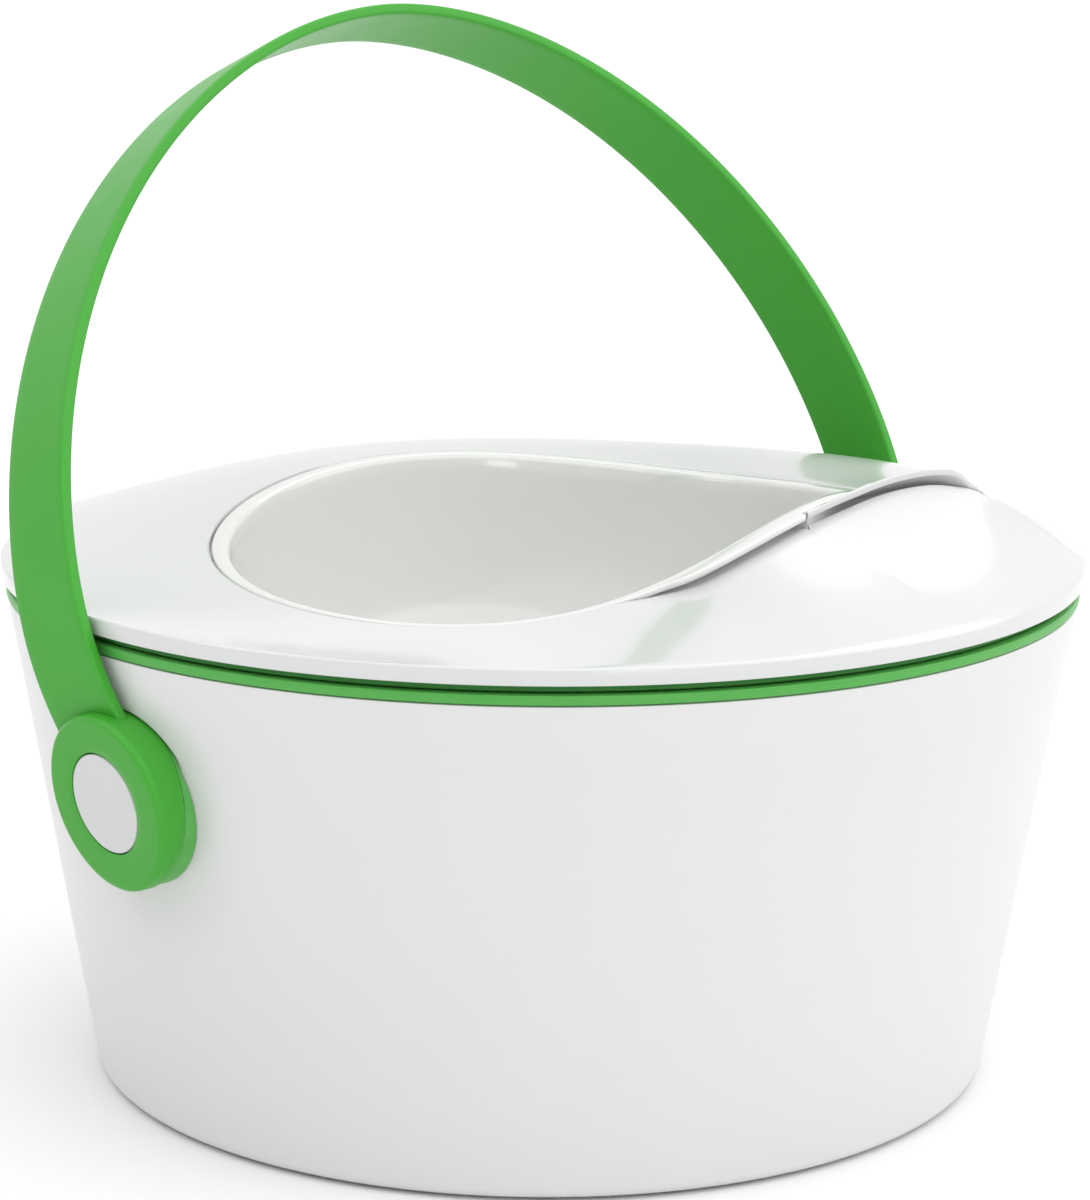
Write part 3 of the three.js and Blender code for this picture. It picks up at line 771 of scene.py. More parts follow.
    def build_rim_ring(self, finish: bpy.types.Material) -> bpy.types.Object:
        """Models the bright band that caps the tub's rim.

        Args:
            finish: Its material.

        Returns:
            The ring.
        """
        low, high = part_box("tub_rim_ring")
        outer, top, skirt = high.x / MM, high.z / MM, low.z / MM
        bottom = self.height + GAP
        inner = outer - self.ring_width - GAP
        skirt_outer = self.radius_at(skirt) - self.wall - GAP
        section = [(outer - 0.35, bottom), (outer - 0.1, bottom + 0.1), (outer, bottom + 0.35)]
        section += [(outer, top - 0.55), (outer - 0.16, top - 0.16), (outer - 0.55, top)]
        section += [(inner, top), (inner, skirt), (skirt_outer, skirt), (skirt_outer, bottom)]
        ring = Bench.lathe("rim_band", section, closed=True)
        Bench.smooth(ring)
        return Bench.dress(ring, Body.TUB, "green_trim", finish, ["tub_rim_ring"])


# ------------------------------------------------------------------ seat and pot


@dataclass(frozen=True)
class Swell:
    """A smooth rise round the circle."""

    azimuth: float
    rise: float
    sharpness: float

    def at(self, azimuth: float) -> float:
        """Its height at an azimuth."""
        return self.rise * math.exp(self.sharpness * (math.cos(math.radians(azimuth - self.azimuth)) - 1))


@dataclass(frozen=True)
class Swirl:
    """The surface that the seat and the pot share: the lip, and the splash crest that runs out of it."""

    rim_radius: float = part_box("seat")[1].x / MM
    bottom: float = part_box("seat_gasket")[1].z / MM + GAP
    edge_height: float = 4.5
    hole_radius: float = 93.8
    wall: float = 3.0
    fold_margin: float = 1.6
    front_blend: float = 45.0
    shoulder: float = 2.5
    lip_base: float = -6.5
    lip_swells: tuple[Swell, ...] = (Swell(76, 16.9, 1.6), Swell(-82, 21.8, 4.8), Swell(-37, 13.5, 2.3))
    crown: Swell = Swell(-5, 5, 3)
    line_distance: float = 87.6
    line_azimuth: float = -105.3
    line_blend: float = 4.0
    slit_start: float = -124.0
    tip: float = -86.0
    step: float = 4.0
    peak: float = 69.0
    peak_height: float = 26.5
    peak_run: float = 122.0
    close_start: float = 76.0
    close_end: float = 92.0
    tip_blend: float = 20.0
    fall_tip: float = 1.15
    fall_end: float = 0.8
    fall_reach: float = 75.0
    quiet_turn: float = 150.0
    seam: float = 0.3
    cut_margin: float = 0.8
    busy_past: int = 3

    def places(self, before_cut: float, after_cut: float) -> list[float]:
        """Azimuths of the sections: every degree, every half degree along the crest, and a sharp cut.

        Args:
            before_cut: Azimuth of the last section before the cut at the crest's tip.
            after_cut: Azimuth of the first section after it.

        Returns:
            The azimuths in order.
        """
        crest_start, crest_end = round(self.slit_start), round(self.crest_end) + self.busy_past
        quiet = [float(k) for k in range(crest_end, crest_start + 360)]
        busy = [crest_start + k / 2 for k in range(2 * (crest_end - crest_start))]
        kept = [a for a in quiet + busy if abs(turn_from(self.tip, a)) > self.cut_margin]
        return sorted(kept + [before_cut, after_cut])

    @property
    def top(self) -> float:
        """Height of the seat's outer edge."""
        return self.bottom + self.edge_height

    @property
    def line_turn(self) -> float:
        """Degrees from the foot of the crest's line to the rim."""
        return math.degrees(math.acos(self.line_distance / self.rim_radius))

    @property
    def crest_end(self) -> float:
        """Azimuth where the crest meets the rim."""
        return self.line_azimuth + self.line_turn

    def lip(self, azimuth: float) -> float:
        """Height of the lip round the hole."""
        return self.top + self.lip_base + sum(swell.at(azimuth) for swell in self.lip_swells)

    def past_tip(self, azimuth: float) -> float:
        """Turn from the crest's tip, positive along the crest."""
        return turn_from(self.tip, azimuth)

    def crossed(self, azimuth: float) -> bool:
        """Whether the crest crosses the seat at an azimuth."""
        return self.past_tip(azimuth) > 0 and turn_from(self.crest_end, azimuth) < 0

    def crest_radius(self, azimuth: float) -> float:
        """Radius of the crest, no less than the hole's."""
        turn = min(max(turn_from(self.line_azimuth, azimuth), 0.0), self.line_turn)
        line = self.line_distance / math.cos(math.radians(turn))
        return (line + self.hole_radius + math.hypot(line - self.hole_radius, self.line_blend)) / 2

    def along(self, azimuth: float) -> float:
        """Distance along the crest's line from its foot."""
        turn = min(max(turn_from(self.line_azimuth, azimuth), 0.0), self.line_turn)
        return self.crest_radius(azimuth) * math.sin(math.radians(turn))

    def step_at(self, azimuth: float) -> float:
        """Drop from the lip's top to the front slope."""
        opening = ease(turn_from(self.line_azimuth, azimuth), self.slit_start - self.line_azimuth, 0)
        return self.step * opening * (1 - ease(self.along(azimuth), self.close_start, self.close_end))

    def _line_height(self, azimuth: float) -> float:
        """Height of the front slope's top edge along the crest's own line."""
        along = self.along(azimuth)
        reach = self.line_distance * math.tan(math.radians(self.line_turn))
        if along > self.peak:
            fall = min((along - self.peak) / (reach - self.peak), 1.0)
            return self.top + self.peak_height * math.cos(math.pi / 2 * fall)
        rise = math.cos(math.pi * (self.peak - along) / self.peak_run)
        return self.top + self.lip_base / 2 + (self.peak_height - self.lip_base / 2) * (1 + rise) / 2

    def crest_top(self, azimuth: float) -> float:
        """Height of the crest's upper edge, past the pot's lip."""
        miss = self.lip(self.tip) - self.step_at(self.tip) - self._line_height(self.tip)
        left = 1 - ease(self.past_tip(azimuth), 0, self.tip_blend)
        return self._line_height(azimuth) + self.step_at(azimuth) + miss * left

    def fold(self, azimuth: float) -> float:
        """Radius of the crest where it crosses, and a quiet radius in the seat elsewhere."""
        nearest, furthest = self.hole_radius + self.fold_margin, self.rim_radius - self.wall
        past = turn_from(self.crest_end, azimuth)
        if past <= 0:
            return min(max(self.crest_radius(azimuth), nearest), furthest)
        return mix(furthest, nearest, ease(past, 0, self.quiet_turn))

    def fall_power(self, azimuth: float) -> float:
        """How late the surface falls away to the rim."""
        past = self.past_tip(azimuth)
        if self.crossed(azimuth):
            return mix(self.fall_tip, self.fall_end, past / (self.crest_end - self.tip))
        if past > 0:
            return self.shoulder
        return mix(self.fall_tip, self.shoulder, ease(-past, 0, self.fall_reach))

    def upper(self, azimuth: float, radius: float) -> float:
        """Height of the surface between the hole and the crest."""
        share = min((radius - self.hole_radius) / (self.crest_radius(azimuth) - self.hole_radius), 1.0)
        share = max(share, 0.0)
        lip = self.lip(azimuth)
        crown = self.crown.at(azimuth) * math.sin(math.pi * share)
        return lip + (self.crest_top(azimuth) - lip) * share ** self.shoulder + crown

    def height(self, azimuth: float, radius: float) -> float:
        """Height of the seat's top.

        Args:
            azimuth: Where round the seat.
            radius: How far from its axis.

        Returns:
            The height above the floor.
        """
        crossed = self.crossed(azimuth)
        if crossed and radius < self.fold(azimuth):
            return self.upper(azimuth, radius)
        before = self.past_tip(azimuth)
        blend = ease(before, -self.front_blend, 0) if before <= 0 else 0.0
        fold = self.fold(azimuth) if crossed else self.hole_radius + self.fold_margin * blend
        edge = (self.upper(azimuth, fold) if crossed else self.lip(azimuth)) - self.step_at(azimuth)
        out = min(max(radius - fold, 0.0) / (self.rim_radius - fold), 1.0)
        crown = 0.0 if crossed else self.crown.at(azimuth) * math.sin(math.pi * out) * (1 - blend)
        return self.top + (edge - self.top) * (1 - out ** self.fall_power(azimuth)) + crown


@dataclass
class Seat:
    """The swirled seat with its overhanging splash crest, and the seal under its edge."""

    swirl: Swirl = field(default_factory=Swirl)
    pot_clearance: float = 0.6
    lip_thickness: float = 1.7
    lip_overhang: float = 1.5
    slit_depth: float = 7.0
    slit_opening: float = 10.0
    slit_least: float = 1.2
    shut_below: float = 1.0
    ledge: float = 2.5
    ledge_width: float = 3.0
    skirt_outer: float = 144.8
    skirt_width: float = 2.5
    skirt_drop: float = 5.0
    under_steps: int = 9
    upper_steps: int = 16
    slope_steps: int = 22

    def _lip_points(self, azimuth: float, step: float, inner: float) -> list[Point]:
        """The crest's lip with the slit under it, flattened into the surface where there is no step.

        Args:
            azimuth: Where round the seat.
            step: Drop from the lip's top to the slope, 0 where there is none.
            inner: Radius of the seat's inner edge here.

        Returns:
            Ten points from the lip's top edge round and back, then out to the slope's edge.
        """
        swirl, fold = self.swirl, self.swirl.fold(azimuth)
        thick = min(self.lip_thickness, 0.85 * step)
        openness = ease(step - thick, 0.15, swirl.step - self.lip_thickness)
        edge = fold + self.lip_overhang * openness * ease(swirl.past_tip(azimuth), 0, self.slit_opening)
        deepest = max(min(self.slit_depth, fold - inner - 0.6), 0.6)
        depth = mix(min(self.slit_least, deepest), deepest, openness)
        top = swirl.upper(azimuth, fold)
        soft = 0.2 * thick
        opened = [
            (edge - 0.12, top - 0.08), (edge, top - soft), (edge, top - thick + soft),
            (edge - 0.12, top - thick + 0.08), (edge - 0.3, top - thick),
        ]
        for share in (0.6, 1.0):
            radius = fold - depth * share
            opened.append((radius, swirl.upper(azimuth, radius) - thick))
        for share in (1.0, 0.6, 0.1):
            radius = fold - depth * share
            opened.append((radius, swirl.upper(azimuth, radius) - step))
        stepped = ease(step, 0.0, self.shut_below)
        points = []
        for k, (radius, height) in enumerate(opened):
            flat = fold - 1.5 + 0.4 * k
            points.append((mix(flat, radius, stepped), mix(swirl.height(azimuth, flat), height, stepped)))
        return points

    def section(self, azimuth: float) -> list[Point]:
        """The seat's section at an azimuth.

        Args:
            azimuth: Where round the seat.

        Returns:
            Its (radius, height) corners, from the ledge out over the top and back underneath.
        """
        swirl = self.swirl
        crossed = swirl.crossed(azimuth)
        step = swirl.step_at(azimuth) if crossed else 0.0
        stepped = ease(step, 0.0, self.shut_below)
        inner = swirl.hole_radius
        if crossed:
            inner = Pot.outer(swirl, azimuth) + self.pot_clearance
        fold = swirl.fold(azimuth)
        hole_height = swirl.height(azimuth, inner)
        ledge_top = min(swirl.lip(azimuth) - Pot.lip_thickness, hole_height) - GAP
        ledge_inner = swirl.hole_radius - self.ledge_width
        lip = self._lip_points(azimuth, step, inner)
        first, last = inner + 0.45, lip[0][0] - 0.25
        points = [(ledge_inner, ledge_top), (inner, ledge_top)]
        points += [(inner, hole_height - 0.45), (inner + 0.13, hole_height - 0.13)]
        for k in range(self.upper_steps):
            radius = mix(first, max(last, first + 0.1), k / (self.upper_steps - 1))
            points.append((radius, swirl.height(azimuth, min(radius, fold - 0.01) if crossed else radius)))
        points += lip
        start, end = fold + mix(2.6, 0.45, stepped), swirl.rim_radius - 0.8
        for k in range(self.slope_steps):
            radius = mix(start, end, (k / (self.slope_steps - 1)) ** 1.25)
            points.append((radius, swirl.height(azimuth, radius)))
        rim = swirl.rim_radius
        points += [(rim - 0.4, swirl.top - 0.06), (rim - 0.12, swirl.top - 0.3), (rim, swirl.top - 0.75)]
        points += [(rim, swirl.bottom + 0.45), (rim - 0.13, swirl.bottom + 0.13), (rim - 0.45, swirl.bottom)]
        skirt_bottom = swirl.bottom - self.skirt_drop
        skirt_inner = self.skirt_outer - self.skirt_width
        points += [(self.skirt_outer, swirl.bottom), (self.skirt_outer, skirt_bottom)]
        points += [(skirt_inner, skirt_bottom), (skirt_inner, swirl.bottom + GAP)]
        points += self._underside(azimuth, skirt_inner - swirl.wall, swirl.hole_radius + swirl.wall + 1)
        points += [(inner, ledge_top - self.ledge), (ledge_inner, ledge_top - self.ledge)]
        return points

    def _underside(self, azimuth: float, start: float, end: float) -> list[Point]:
        """The underside between two radii, a wall below the lowest surface near each point."""
        swirl = self.swirl
        spacing = (end - start) / self.under_steps
        drop = swirl.step_at(azimuth) if swirl.crossed(azimuth) else 0.0
        points = []
        for k in range(self.under_steps + 1):
            radius = start + spacing * k
            nearby = [radius + spacing * share for share in (-1, -0.5, 0, 0.5, 1)]
            lowest = min(swirl.height(azimuth, r) for r in nearby) - drop
            points.append((radius, lowest - swirl.wall))
        return points

    def build(self, finish: bpy.types.Material) -> bpy.types.Object:
        """Models the seat.

        Args:
            finish: Its material.

        Returns:
            The seat.
        """
        places = self.swirl.places(self.swirl.tip, self.swirl.tip + 0.12)
        seat = Bench.shaped("swirl_seat", self.section, True, places)
        Bench.smooth(seat, 38)
        return Bench.dress(seat, Body.SEAT, "white_seat", finish, ["seat"])

    @staticmethod
    def build_seal(finish: bpy.types.Material) -> bpy.types.Object:
        """Models the soft seal, set back under the seat's edge.

        Args:
            finish: Its material.

        Returns:
            The seal.
        """
        low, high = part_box("seat_gasket")
        outer, bottom, top = high.x / MM, low.z / MM, high.z / MM
        inner, middle = outer - 2.6, (bottom + top) / 2
        section = [(outer - 0.3, bottom), (outer, bottom + 0.35), (outer - 0.2, middle), (outer, top - 0.35)]
        section += [(outer - 0.3, top), (inner, top), (inner, bottom)]
        seal = Bench.lathe("seat_seal", section, closed=True)
        Bench.smooth(seal)
        # the seal's darker green is painted shade under the seat's edge
        return Bench.dress(seal, Body.SEAT, "green_seal", finish, ["seat_gasket"])


@dataclass
class Pot:
    """The lift-out pot: a smooth bowl whose thin lip leans out over the slit."""

    swirl: Swirl = field(default_factory=Swirl)
    wall: float = 2.5
    wall_top: float = 88.0
    depth: float = 76.0
    width_power: float = 0.75
    height_power: float = 0.62
    stations: int = 30

    lip_thickness: ClassVar[float] = 1.8
    clearance: ClassVar[float] = 0.6
    overhang: ClassVar[float] = 2.2

    @classmethod
    def outer(cls, swirl: Swirl, azimuth: float) -> float:
        """Outer radius of the lip.

        Args:
            swirl: The shared surface.
            azimuth: Where round the pot.

        Returns:
            The radius, larger where the lip leans out over the slit.
        """
        base = swirl.hole_radius - cls.clearance
        if swirl.past_tip(azimuth) > -swirl.seam:
            return base
        return base + cls.overhang * ease(swirl.step_at(azimuth), cls.lip_thickness + GAP, swirl.step)

    def section(self, azimuth: float) -> list[Point]:
        """The pot's section at an azimuth.

        Args:
            azimuth: Where round the pot.

        Returns:
            Its (radius, height) corners, from the middle of its floor up, over the lip and down.
        """
        swirl = self.swirl
        lip, outer = swirl.lip(azimuth), self.outer(swirl, azimuth)
        floor, rim = swirl.top - self.depth, swirl.lip(azimuth) - self.lip_thickness
        inside: list[Point] = []
        for k in range(self.stations + 1):
            angle = math.radians(90 * (k / self.stations) ** 1.5)
            radius = 0.0
            if k < self.stations:
                radius = self.wall_top * math.cos(angle) ** self.width_power
            inside.append((radius, floor + (rim - floor) * (1 - math.sin(angle) ** self.height_power)))
        outside = []
        for k in range(0, self.stations + 1, 2):
            radius, height = inside[k]
            down = k / self.stations
            grown = radius + self.wall * (1 - down) if k < self.stations else 0.0
            outside.append((grown, height - self.wall * ease(down, 0, 1)))
        top = self.wall_top
        edge = [(top + 0.3, lip - 1.0), (top + 0.9, lip - 0.42), (top + 1.7, lip - 0.08), (top + 2.5, lip)]
        edge += [(outer - 0.7, lip), (outer - 0.28, lip - 0.1), (outer - 0.06, lip - 0.4), (outer, lip - 0.8)]
        edge += [(outer, rim + 0.3), (outer - 0.3, rim)]
        return [*reversed(inside), *edge, *outside]

    def build(self, finish: bpy.types.Material) -> bpy.types.Object:
        """Models the pot.

        Args:
            finish: Its material.

        Returns:
            The pot.
        """
        cut = self.swirl.tip - self.swirl.seam
        places = self.swirl.places(cut - 0.12, cut + 0.01)
        pot = Bench.shaped("lift_out_pot", self.section, False, places)
        Bench.smooth(pot, 50)
        return Bench.dress(pot, Body.POT, "white_pot", finish, ["inner_pot"])


# ------------------------------------------------------------------ handle and pivots


@dataclass
class Handle:
    """The wide strap, bent into an arch, with its two hubs and their caps."""

    lean: float = 21.8
    half_width: float = 154.84
    widest_at: float = 47.0
    height: float = 203.08
    roundness: float = 1.87
    foot_height: float = 15.0
    tuck: float = 5.5
    foot_width: float = 27.4
    top_width: float = 25.5
    thickness: float = 3.1
    edge_round: float = 0.8
    foot_steps: int = 60
    arch_steps: int = 900
    stations: int = 220
    lanes: int = 8
    hub_radius: float = 23.9
    hub_face: float = 153.6
    hub_back: float = 145.6
    hub_round: float = 1.9
    hub_bore: float = 5.0
    hub_rings: tuple[float, float] = (19.0, 16.5)
    recess_depth: float = 3.6
    cap_radius: float = 13.4
    cap_clearance: float = 0.35
    cap_thickness: float = 2.5
    cap_crown: float = 0.25
    cap_round: float = 0.5
    cap_rings: tuple[float, ...] = (11.0, 8.0, 4.0, 0.0)
    wall_slope: float = (Tub.rim_radius - Tub.base_radius) / Tub.height

    def _centre_line(self) -> list[Point]:
        """The strap's middle line from its left foot over the top, at even spacing, as (x, height)."""
        dense: list[Point] = []
        drop = self.widest_at - self.foot_height
        for k in range(self.foot_steps):
            down = 1 - k / self.foot_steps
            dense.append((self.half_width - self.tuck * down ** 2, self.widest_at - drop * down))
        power = 2 / self.roundness
        for k in range(self.arch_steps + 1):
            angle = math.radians(90 * k / self.arch_steps)
            across = self.half_width * math.cos(angle) ** power if k < self.arch_steps else 0.0
            rise = (self.height - self.widest_at) * math.sin(angle) ** power
            dense.append((across, self.widest_at + rise))
        whole = [(-x, h) for x, h in dense] + [(x, h) for x, h in reversed(dense[:-1])]
        lengths = [0.0]
        for (x0, h0), (x1, h1) in zip(whole, whole[1:]):
            lengths.append(lengths[-1] + math.hypot(x1 - x0, h1 - h0))
        line, at = [], 0
        for k in range(self.stations + 1):
            target = lengths[-1] * k / self.stations
            while at < len(whole) - 2 and lengths[at + 1] < target:
                at += 1
            share = (target - lengths[at]) / (lengths[at + 1] - lengths[at])
            (x0, h0), (x1, h1) = whole[at], whole[at + 1]
            line.append((mix(x0, x1, share), mix(h0, h1, share)))
        return line

    def _leaned(self, across: float, forward: float, rise: float) -> Vector:
        """A point given about the upright handle, at the handle's rest lean, in metres."""
        turn = Matrix.Rotation(-math.radians(self.lean), 3, "X")
        point = turn @ Vector((across, forward, rise))
        return (point + Vector((0, 0, PIVOT_HEIGHT))) * MM

    def build_strap(self, finish: bpy.types.Material) -> bpy.types.Object:
        """Models the strap: a ruled sheet laid along the arch, then thickened and rounded.

        Args:
            finish: Its material.

        Returns:
            The strap.
        """
        Bench.clear()
        bpy.ops.mesh.primitive_grid_add(x_subdivisions=self.stations, y_subdivisions=self.lanes, size=1)
        strap = Bench.named("carry_strap")
        line = self._centre_line()
        for vertex in strap.data.vertices:
            across, rise = line[round((vertex.co.x + 0.5) * self.stations)]
            width = mix(self.foot_width, self.top_width, rise / self.height)
            vertex.co = self._leaned(across, vertex.co.y * width, rise)
        Bench.take(strap)
        bpy.ops.object.mode_set(mode="EDIT")
        bpy.ops.mesh.select_all(action="SELECT")
        bpy.ops.mesh.normals_make_consistent(inside=False)
        bpy.ops.object.mode_set(mode="OBJECT")
        thicken = strap.modifiers.new("thicken", "SOLIDIFY")
        thicken.thickness = self.thickness * MM
        thicken.offset = 0
        thicken.use_even_offset = True
        bpy.ops.object.modifier_apply(modifier=thicken.name)
        Bench.bevel(strap, self.edge_round, 4)
        Bench.smooth(strap)
        return Bench.dress(strap, Body.HANDLE, "green_handle", finish, ["handle_strap"])

    def _slope(self, piece: bpy.types.Object, side: Side, start: float, end: float) -> None:
        """Slopes a piece on the pivot so that its outer face lies parallel to the tub's wall.

        Args:
            piece: The piece.
            side: Which end of the pivot axis.
            start: Distance from the axis of the tub where the slope starts to act.
            end: Distance where it acts in full.
        """
        for vertex in piece.data.vertices:
            share = (abs(vertex.co.x) / MM - start) / (end - start)
            up = vertex.co.z - PIVOT_HEIGHT * MM
            vertex.co.x += side.value * self.wall_slope * up * min(max(share, 0.0), 1.0)

    def build_hub(self, side: Side, finish: bpy.types.Material) -> bpy.types.Object:
        """Models one hub.

        Args:
            side: Which end of the pivot axis.
            finish: Its material.

        Returns:
            The hub.
        """
        face, back, radius = self.hub_face, self.hub_back, self.hub_radius
        recess = self.cap_radius + self.cap_clearance
        floor, bore = face - self.recess_depth, self.hub_bore
        section = [(back, bore), (back, radius - 0.4), (back + 0.12, radius - 0.12), (back + 0.4, radius)]
        section += [(mix(back, face, share), radius) for share in (0.3, 0.55)]
        section += arc((face - self.hub_round, radius - self.hub_round), self.hub_round, 90, 0, 8)
        section += [(face, ring) for ring in self.hub_rings]
        section += [(face, recess + 0.35), (face - 0.1, recess + 0.1), (face - 0.35, recess)]
        section += [(floor, recess), (floor, bore)]
        placed = [(side.value * x, r) for x, r in section]
        hub = Bench.lathe_on_pivot(f"strap_hub_{side.label}", placed, closed=True)
        self._slope(hub, side, back, face)
        Bench.smooth(hub)
        return Bench.dress(hub, Body.HANDLE, "green_handle", finish, [f"handle_hub_{side.label}"])

    def build_cap(self, side: Side, finish: bpy.types.Material) -> bpy.types.Object:
        """Models the white cap that sits in a hub.

        Args:
            side: Which end of the pivot axis.
            finish: Its material.

        Returns:
            The cap.
        """
        face, radius = self.hub_face, self.cap_radius
        section = [(face - self.cap_thickness, 0.0), (face - self.cap_thickness, radius)]
        section += arc((face - self.cap_round, radius - self.cap_round), self.cap_round, 90, 0, 5)
        section += [(face + self.cap_crown * (1 - (r / radius) ** 2), r) for r in self.cap_rings]
        placed = [(side.value * x, r) for x, r in section]
        cap = Bench.lathe_on_pivot(f"hub_cap_{side.label}", placed)
        self._slope(cap, side, 0.0, face - 2 * self.cap_thickness)
        Bench.smooth(cap)
        return Bench.dress(cap, Body.HANDLE, "white_cap", finish, [f"pivot_cap_{side.label}"])


@dataclass
class Pivot:
    """The fixed wedge behind one hub, and the pin that holds them on the tub."""

    tub: Tub
    radius: float = 23.4
    seam: float = 145.3
    inner: float = 132.0
    bore: float = 5.0

    def build(self, side: Side, trim: bpy.types.Material) -> bpy.types.Object:
        """Models the wedge that fills the space between the hub and the sloping wall.

        Args:
            side: Which end of the pivot axis.
            trim: Its material.

        Returns:
            The wedge.
        """
        wedge = self._ring(f"hub_wedge_{side.label}", side)
        grown = [(0.0, 0.0), (self.tub.radius_at(0) + GAP, 0.0)]
        grown += [(self.tub.rim_radius + GAP, self.tub.height), (0.0, self.tub.height)]
        wall = Bench.lathe("grown_wall", grown, steps=96)
        seat = (self.tub.pocket_floor + GAP) * side.value
        behind = self.tub.rod("behind_plate", 2 * self.radius, 0.0, seat)
        Bench.combine(wall, behind, "INTERSECT")
        Bench.combine(wedge, wall, "DIFFERENCE")
        Bench.smooth(wedge, 30)
        return Bench.dress(wedge, Body.TUB, "green_trim", trim, [f"pivot_base_{side.label}"])

    def _ring(self, name: str, side: Side) -> bpy.types.Object:
        """A ring on the pivot axis, from inside the wall out to the face that the hub turns on."""
        start, seam, radius = self.inner, self.seam, self.radius
        section = [(start, self.bore), (start, radius), (seam - 0.4, radius)]
        section += [(seam - 0.12, radius - 0.12), (seam, radius - 0.4), (seam, self.bore)]
        return Bench.lathe_on_pivot(name, [(side.value * x, r) for x, r in section], closed=True)

    @staticmethod
    def dress_hardware(side: Side, plastic: bpy.types.Material, rubber: bpy.types.Material) -> None:
        """Gives the frame's own pin, nut and washer their finishes.

        Args:
            side: Which end of the pivot axis.
            plastic: Material of the pin and the nut.
            rubber: Material of the washer.
        """
        for stem, finish in (("pin", plastic), ("nut", plastic), ("washer", rubber)):
            node = frame["nodes"][f"pivot_{stem}_{side.label}"]
            node.data.materials.clear()
            node.data.materials.append(finish)
            log.info("%s keeps its frame shape", node.name)


# ------------------------------------------------------------------ studio


@dataclass(frozen=True)
class Softbox:
    """One rectangular soft light: its name, its place and sides in metres, and its power in watts."""

    name: str
    place: tuple[float, float, float]
    width: float
    depth: float
    power: float

    def hang(self, middle: Sequence[float]) -> None:
        """Hangs the light so that it looks at the middle of the object.

        Args:
            middle: The place that it looks at, in metres.
        """
        light = bpy.data.lights.new(self.name, "AREA")
        light.shape = "RECTANGLE"
        light.size, light.size_y = self.width, self.depth
        light.energy = self.power
        lamp = bpy.data.objects.new(self.name, light)
        lamp.location = self.place
        aim = Vector(middle) - Vector(self.place)
        lamp.rotation_euler = aim.to_track_quat("-Z", "Y").to_euler()
        bpy.context.scene.collection.objects.link(lamp)


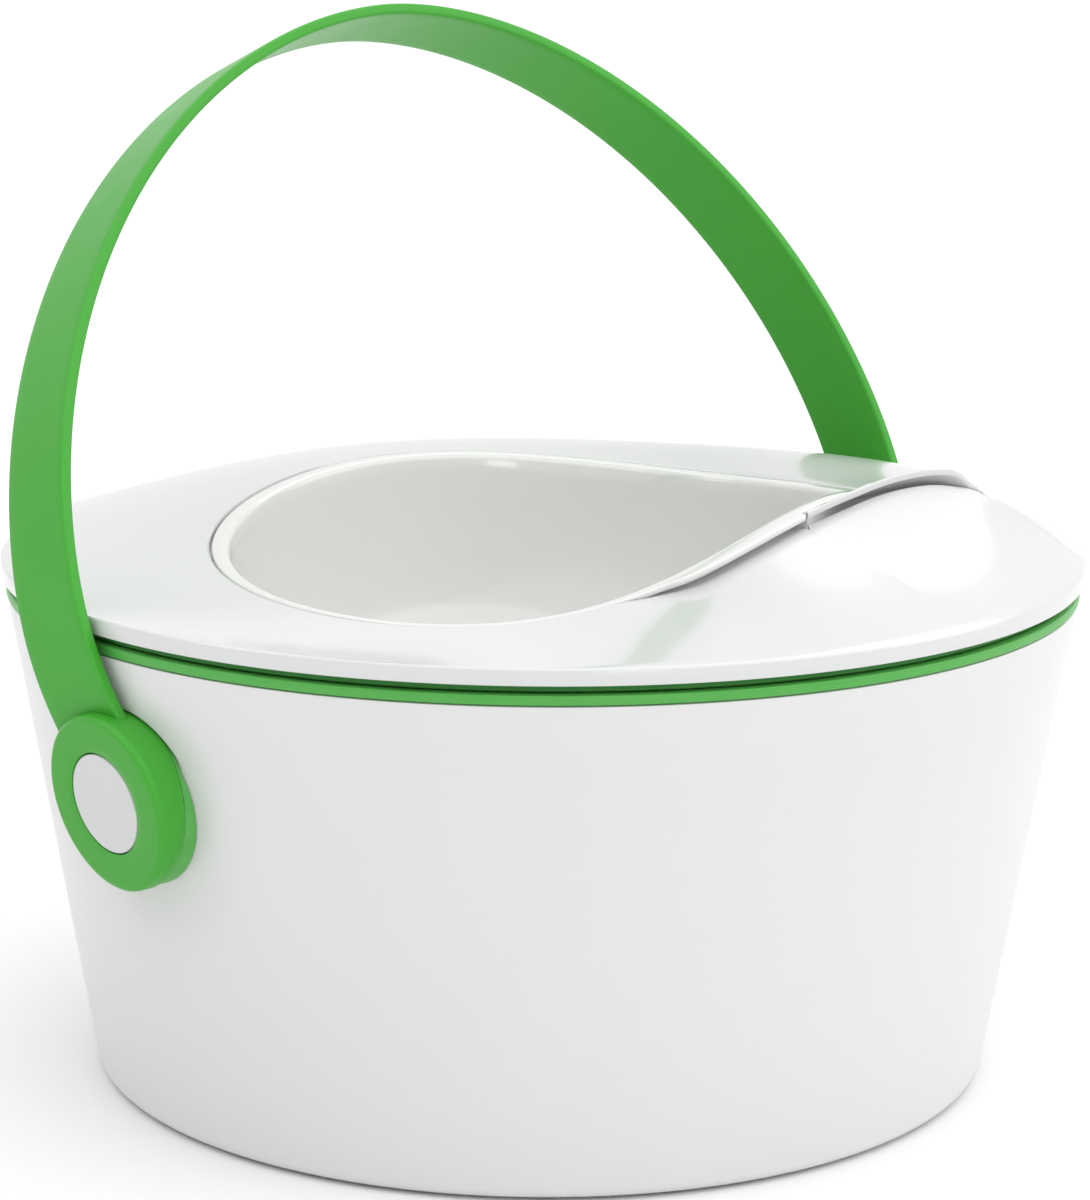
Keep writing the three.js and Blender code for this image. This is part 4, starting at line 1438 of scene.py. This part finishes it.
@dataclass
class Studio:
    """A pale floor, soft lights and the camera."""

    camera_place: tuple[float, float, float] = (-0.6915, -0.7468, 0.3549)
    camera_right: tuple[float, float, float] = (0.7344, -0.6787, 0.0071)
    camera_up: tuple[float, float, float] = (0.1672, 0.1910, 0.9672)
    lens: float = 110.36
    shift_y: float = 0.125
    world_strength: float = 0.4
    overhead_strength: float = 2.55
    overhead_spread: float = 110.0
    overhead_aim: tuple[float, float, float] = (-0.08, 0.28, -1.0)
    middle: tuple[float, float, float] = (0.0, 0.0, 0.12)
    softboxes: tuple[Softbox, ...] = (
        Softbox("right_box", (1.3, -1.2, 0.8), 1.0, 1.0, 2.5),
        Softbox("left_box", (-1.2, 0.6, 1.1), 0.5, 0.8, 2.5),
        Softbox("front_box", (-0.75, -1.6, 0.3), 0.34, 0.34, 1.3),
    )
    floor_size: float = 30.0
    floor_grey: float = 0.93

    def build(self) -> None:
        """Sets up the world, the floor, the lights and the camera."""
        scene = bpy.context.scene
        scene.view_settings.view_transform = "Standard"
        scene.world = self._world()
        self._floor()
        self._sky()
        for softbox in self.softboxes:
            softbox.hang(self.middle)
        self._camera()

    def _world(self) -> bpy.types.World:
        """A backdrop that is white when seen or reflected, and gives the object a softer light."""
        world = bpy.data.worlds.new("studio")
        world.use_nodes = True
        tree = world.node_tree
        path = tree.nodes.new("ShaderNodeLightPath")
        strength = tree.nodes.new("ShaderNodeMapRange")
        strength.inputs["To Min"].default_value = self.world_strength
        strength.inputs["To Max"].default_value = 1.0
        either = tree.nodes.new("ShaderNodeMath")
        either.operation = "MAXIMUM"
        tree.links.new(path.outputs["Is Camera Ray"], either.inputs[0])
        tree.links.new(path.outputs["Is Glossy Ray"], either.inputs[1])
        tree.links.new(either.outputs["Value"], strength.inputs["Value"])
        background = tree.nodes["Background"]
        background.inputs["Color"].default_value = (1, 1, 1, 1)
        tree.links.new(strength.outputs["Result"], background.inputs["Strength"])
        return world

    def _floor(self) -> None:
        """Lays the floor."""
        Bench.clear()
        bpy.ops.mesh.primitive_plane_add(size=self.floor_size)
        floor = Bench.named("studio_floor")
        material = bpy.data.materials.new("studio_white")
        material.use_nodes = True
        shader = next(n for n in material.node_tree.nodes if n.type == "BSDF_PRINCIPLED")
        shader.inputs["Base Color"].default_value = (*[self.floor_grey] * 3, 1)
        shader.inputs["Roughness"].default_value = 0.7
        floor.data.materials.append(material)

    def _sky(self) -> None:
        """Hangs the broad overhead light, as even over the floor as over the object."""
        light = bpy.data.lights.new("overhead", "SUN")
        light.angle = math.radians(self.overhead_spread)
        light.energy = self.overhead_strength
        lamp = bpy.data.objects.new("overhead", light)
        lamp.rotation_euler = Vector(self.overhead_aim).to_track_quat("-Z", "Y").to_euler()
        bpy.context.scene.collection.objects.link(lamp)

    def _camera(self) -> None:
        """Places the camera."""
        right, up = Vector(self.camera_right).normalized(), Vector(self.camera_up).normalized()
        back = right.cross(up).normalized()
        up = back.cross(right)
        data = bpy.data.cameras.new("studio_camera")
        data.lens, data.sensor_width, data.shift_y = self.lens, 36.0, self.shift_y
        data.clip_start, data.clip_end = 0.01, 100.0
        camera = bpy.data.objects.new("studio_camera", data)
        turn = Matrix((right, up, back)).transposed().to_4x4()
        camera.matrix_world = Matrix.Translation(self.camera_place) @ turn
        bpy.context.scene.collection.objects.link(camera)
        bpy.context.scene.camera = camera


# ------------------------------------------------------------------ the whole object


def main() -> None:
    """Builds the studio and every sub-assembly."""
    logging.basicConfig(level=logging.INFO, format="%(name)s: %(message)s")
    Studio().build()
    kit = EffectKit()
    white_shell, white_seat, white_pot, white_cap = (
        finish.build(kit) for finish in (WHITE_SHELL, WHITE_SEAT, WHITE_POT, WHITE_CAP)
    )
    green_handle, green_trim, green_seal = (
        finish.build(kit) for finish in (GREEN_HANDLE, GREEN_TRIM, GREEN_SEAL)
    )
    foot_rubber, pivot_plastic = (finish.build(kit) for finish in (FOOT_RUBBER, PIVOT_PLASTIC))

    tub = Tub()
    tub.build(white_shell)
    tub.build_feet(foot_rubber)
    tub.build_rim_ring(green_trim)
    seat = Seat()
    seat.build(white_seat)
    seat.build_seal(green_seal)
    Pot().build(white_pot)
    handle = Handle()
    handle.build_strap(green_handle)
    for side in Side:
        handle.build_hub(side, green_handle)
        handle.build_cap(side, white_cap)
        pivot = Pivot(tub)
        pivot.build(side, green_trim)
        pivot.dress_hardware(side, pivot_plastic, foot_rubber)


if __name__ == "__main__":
    main()
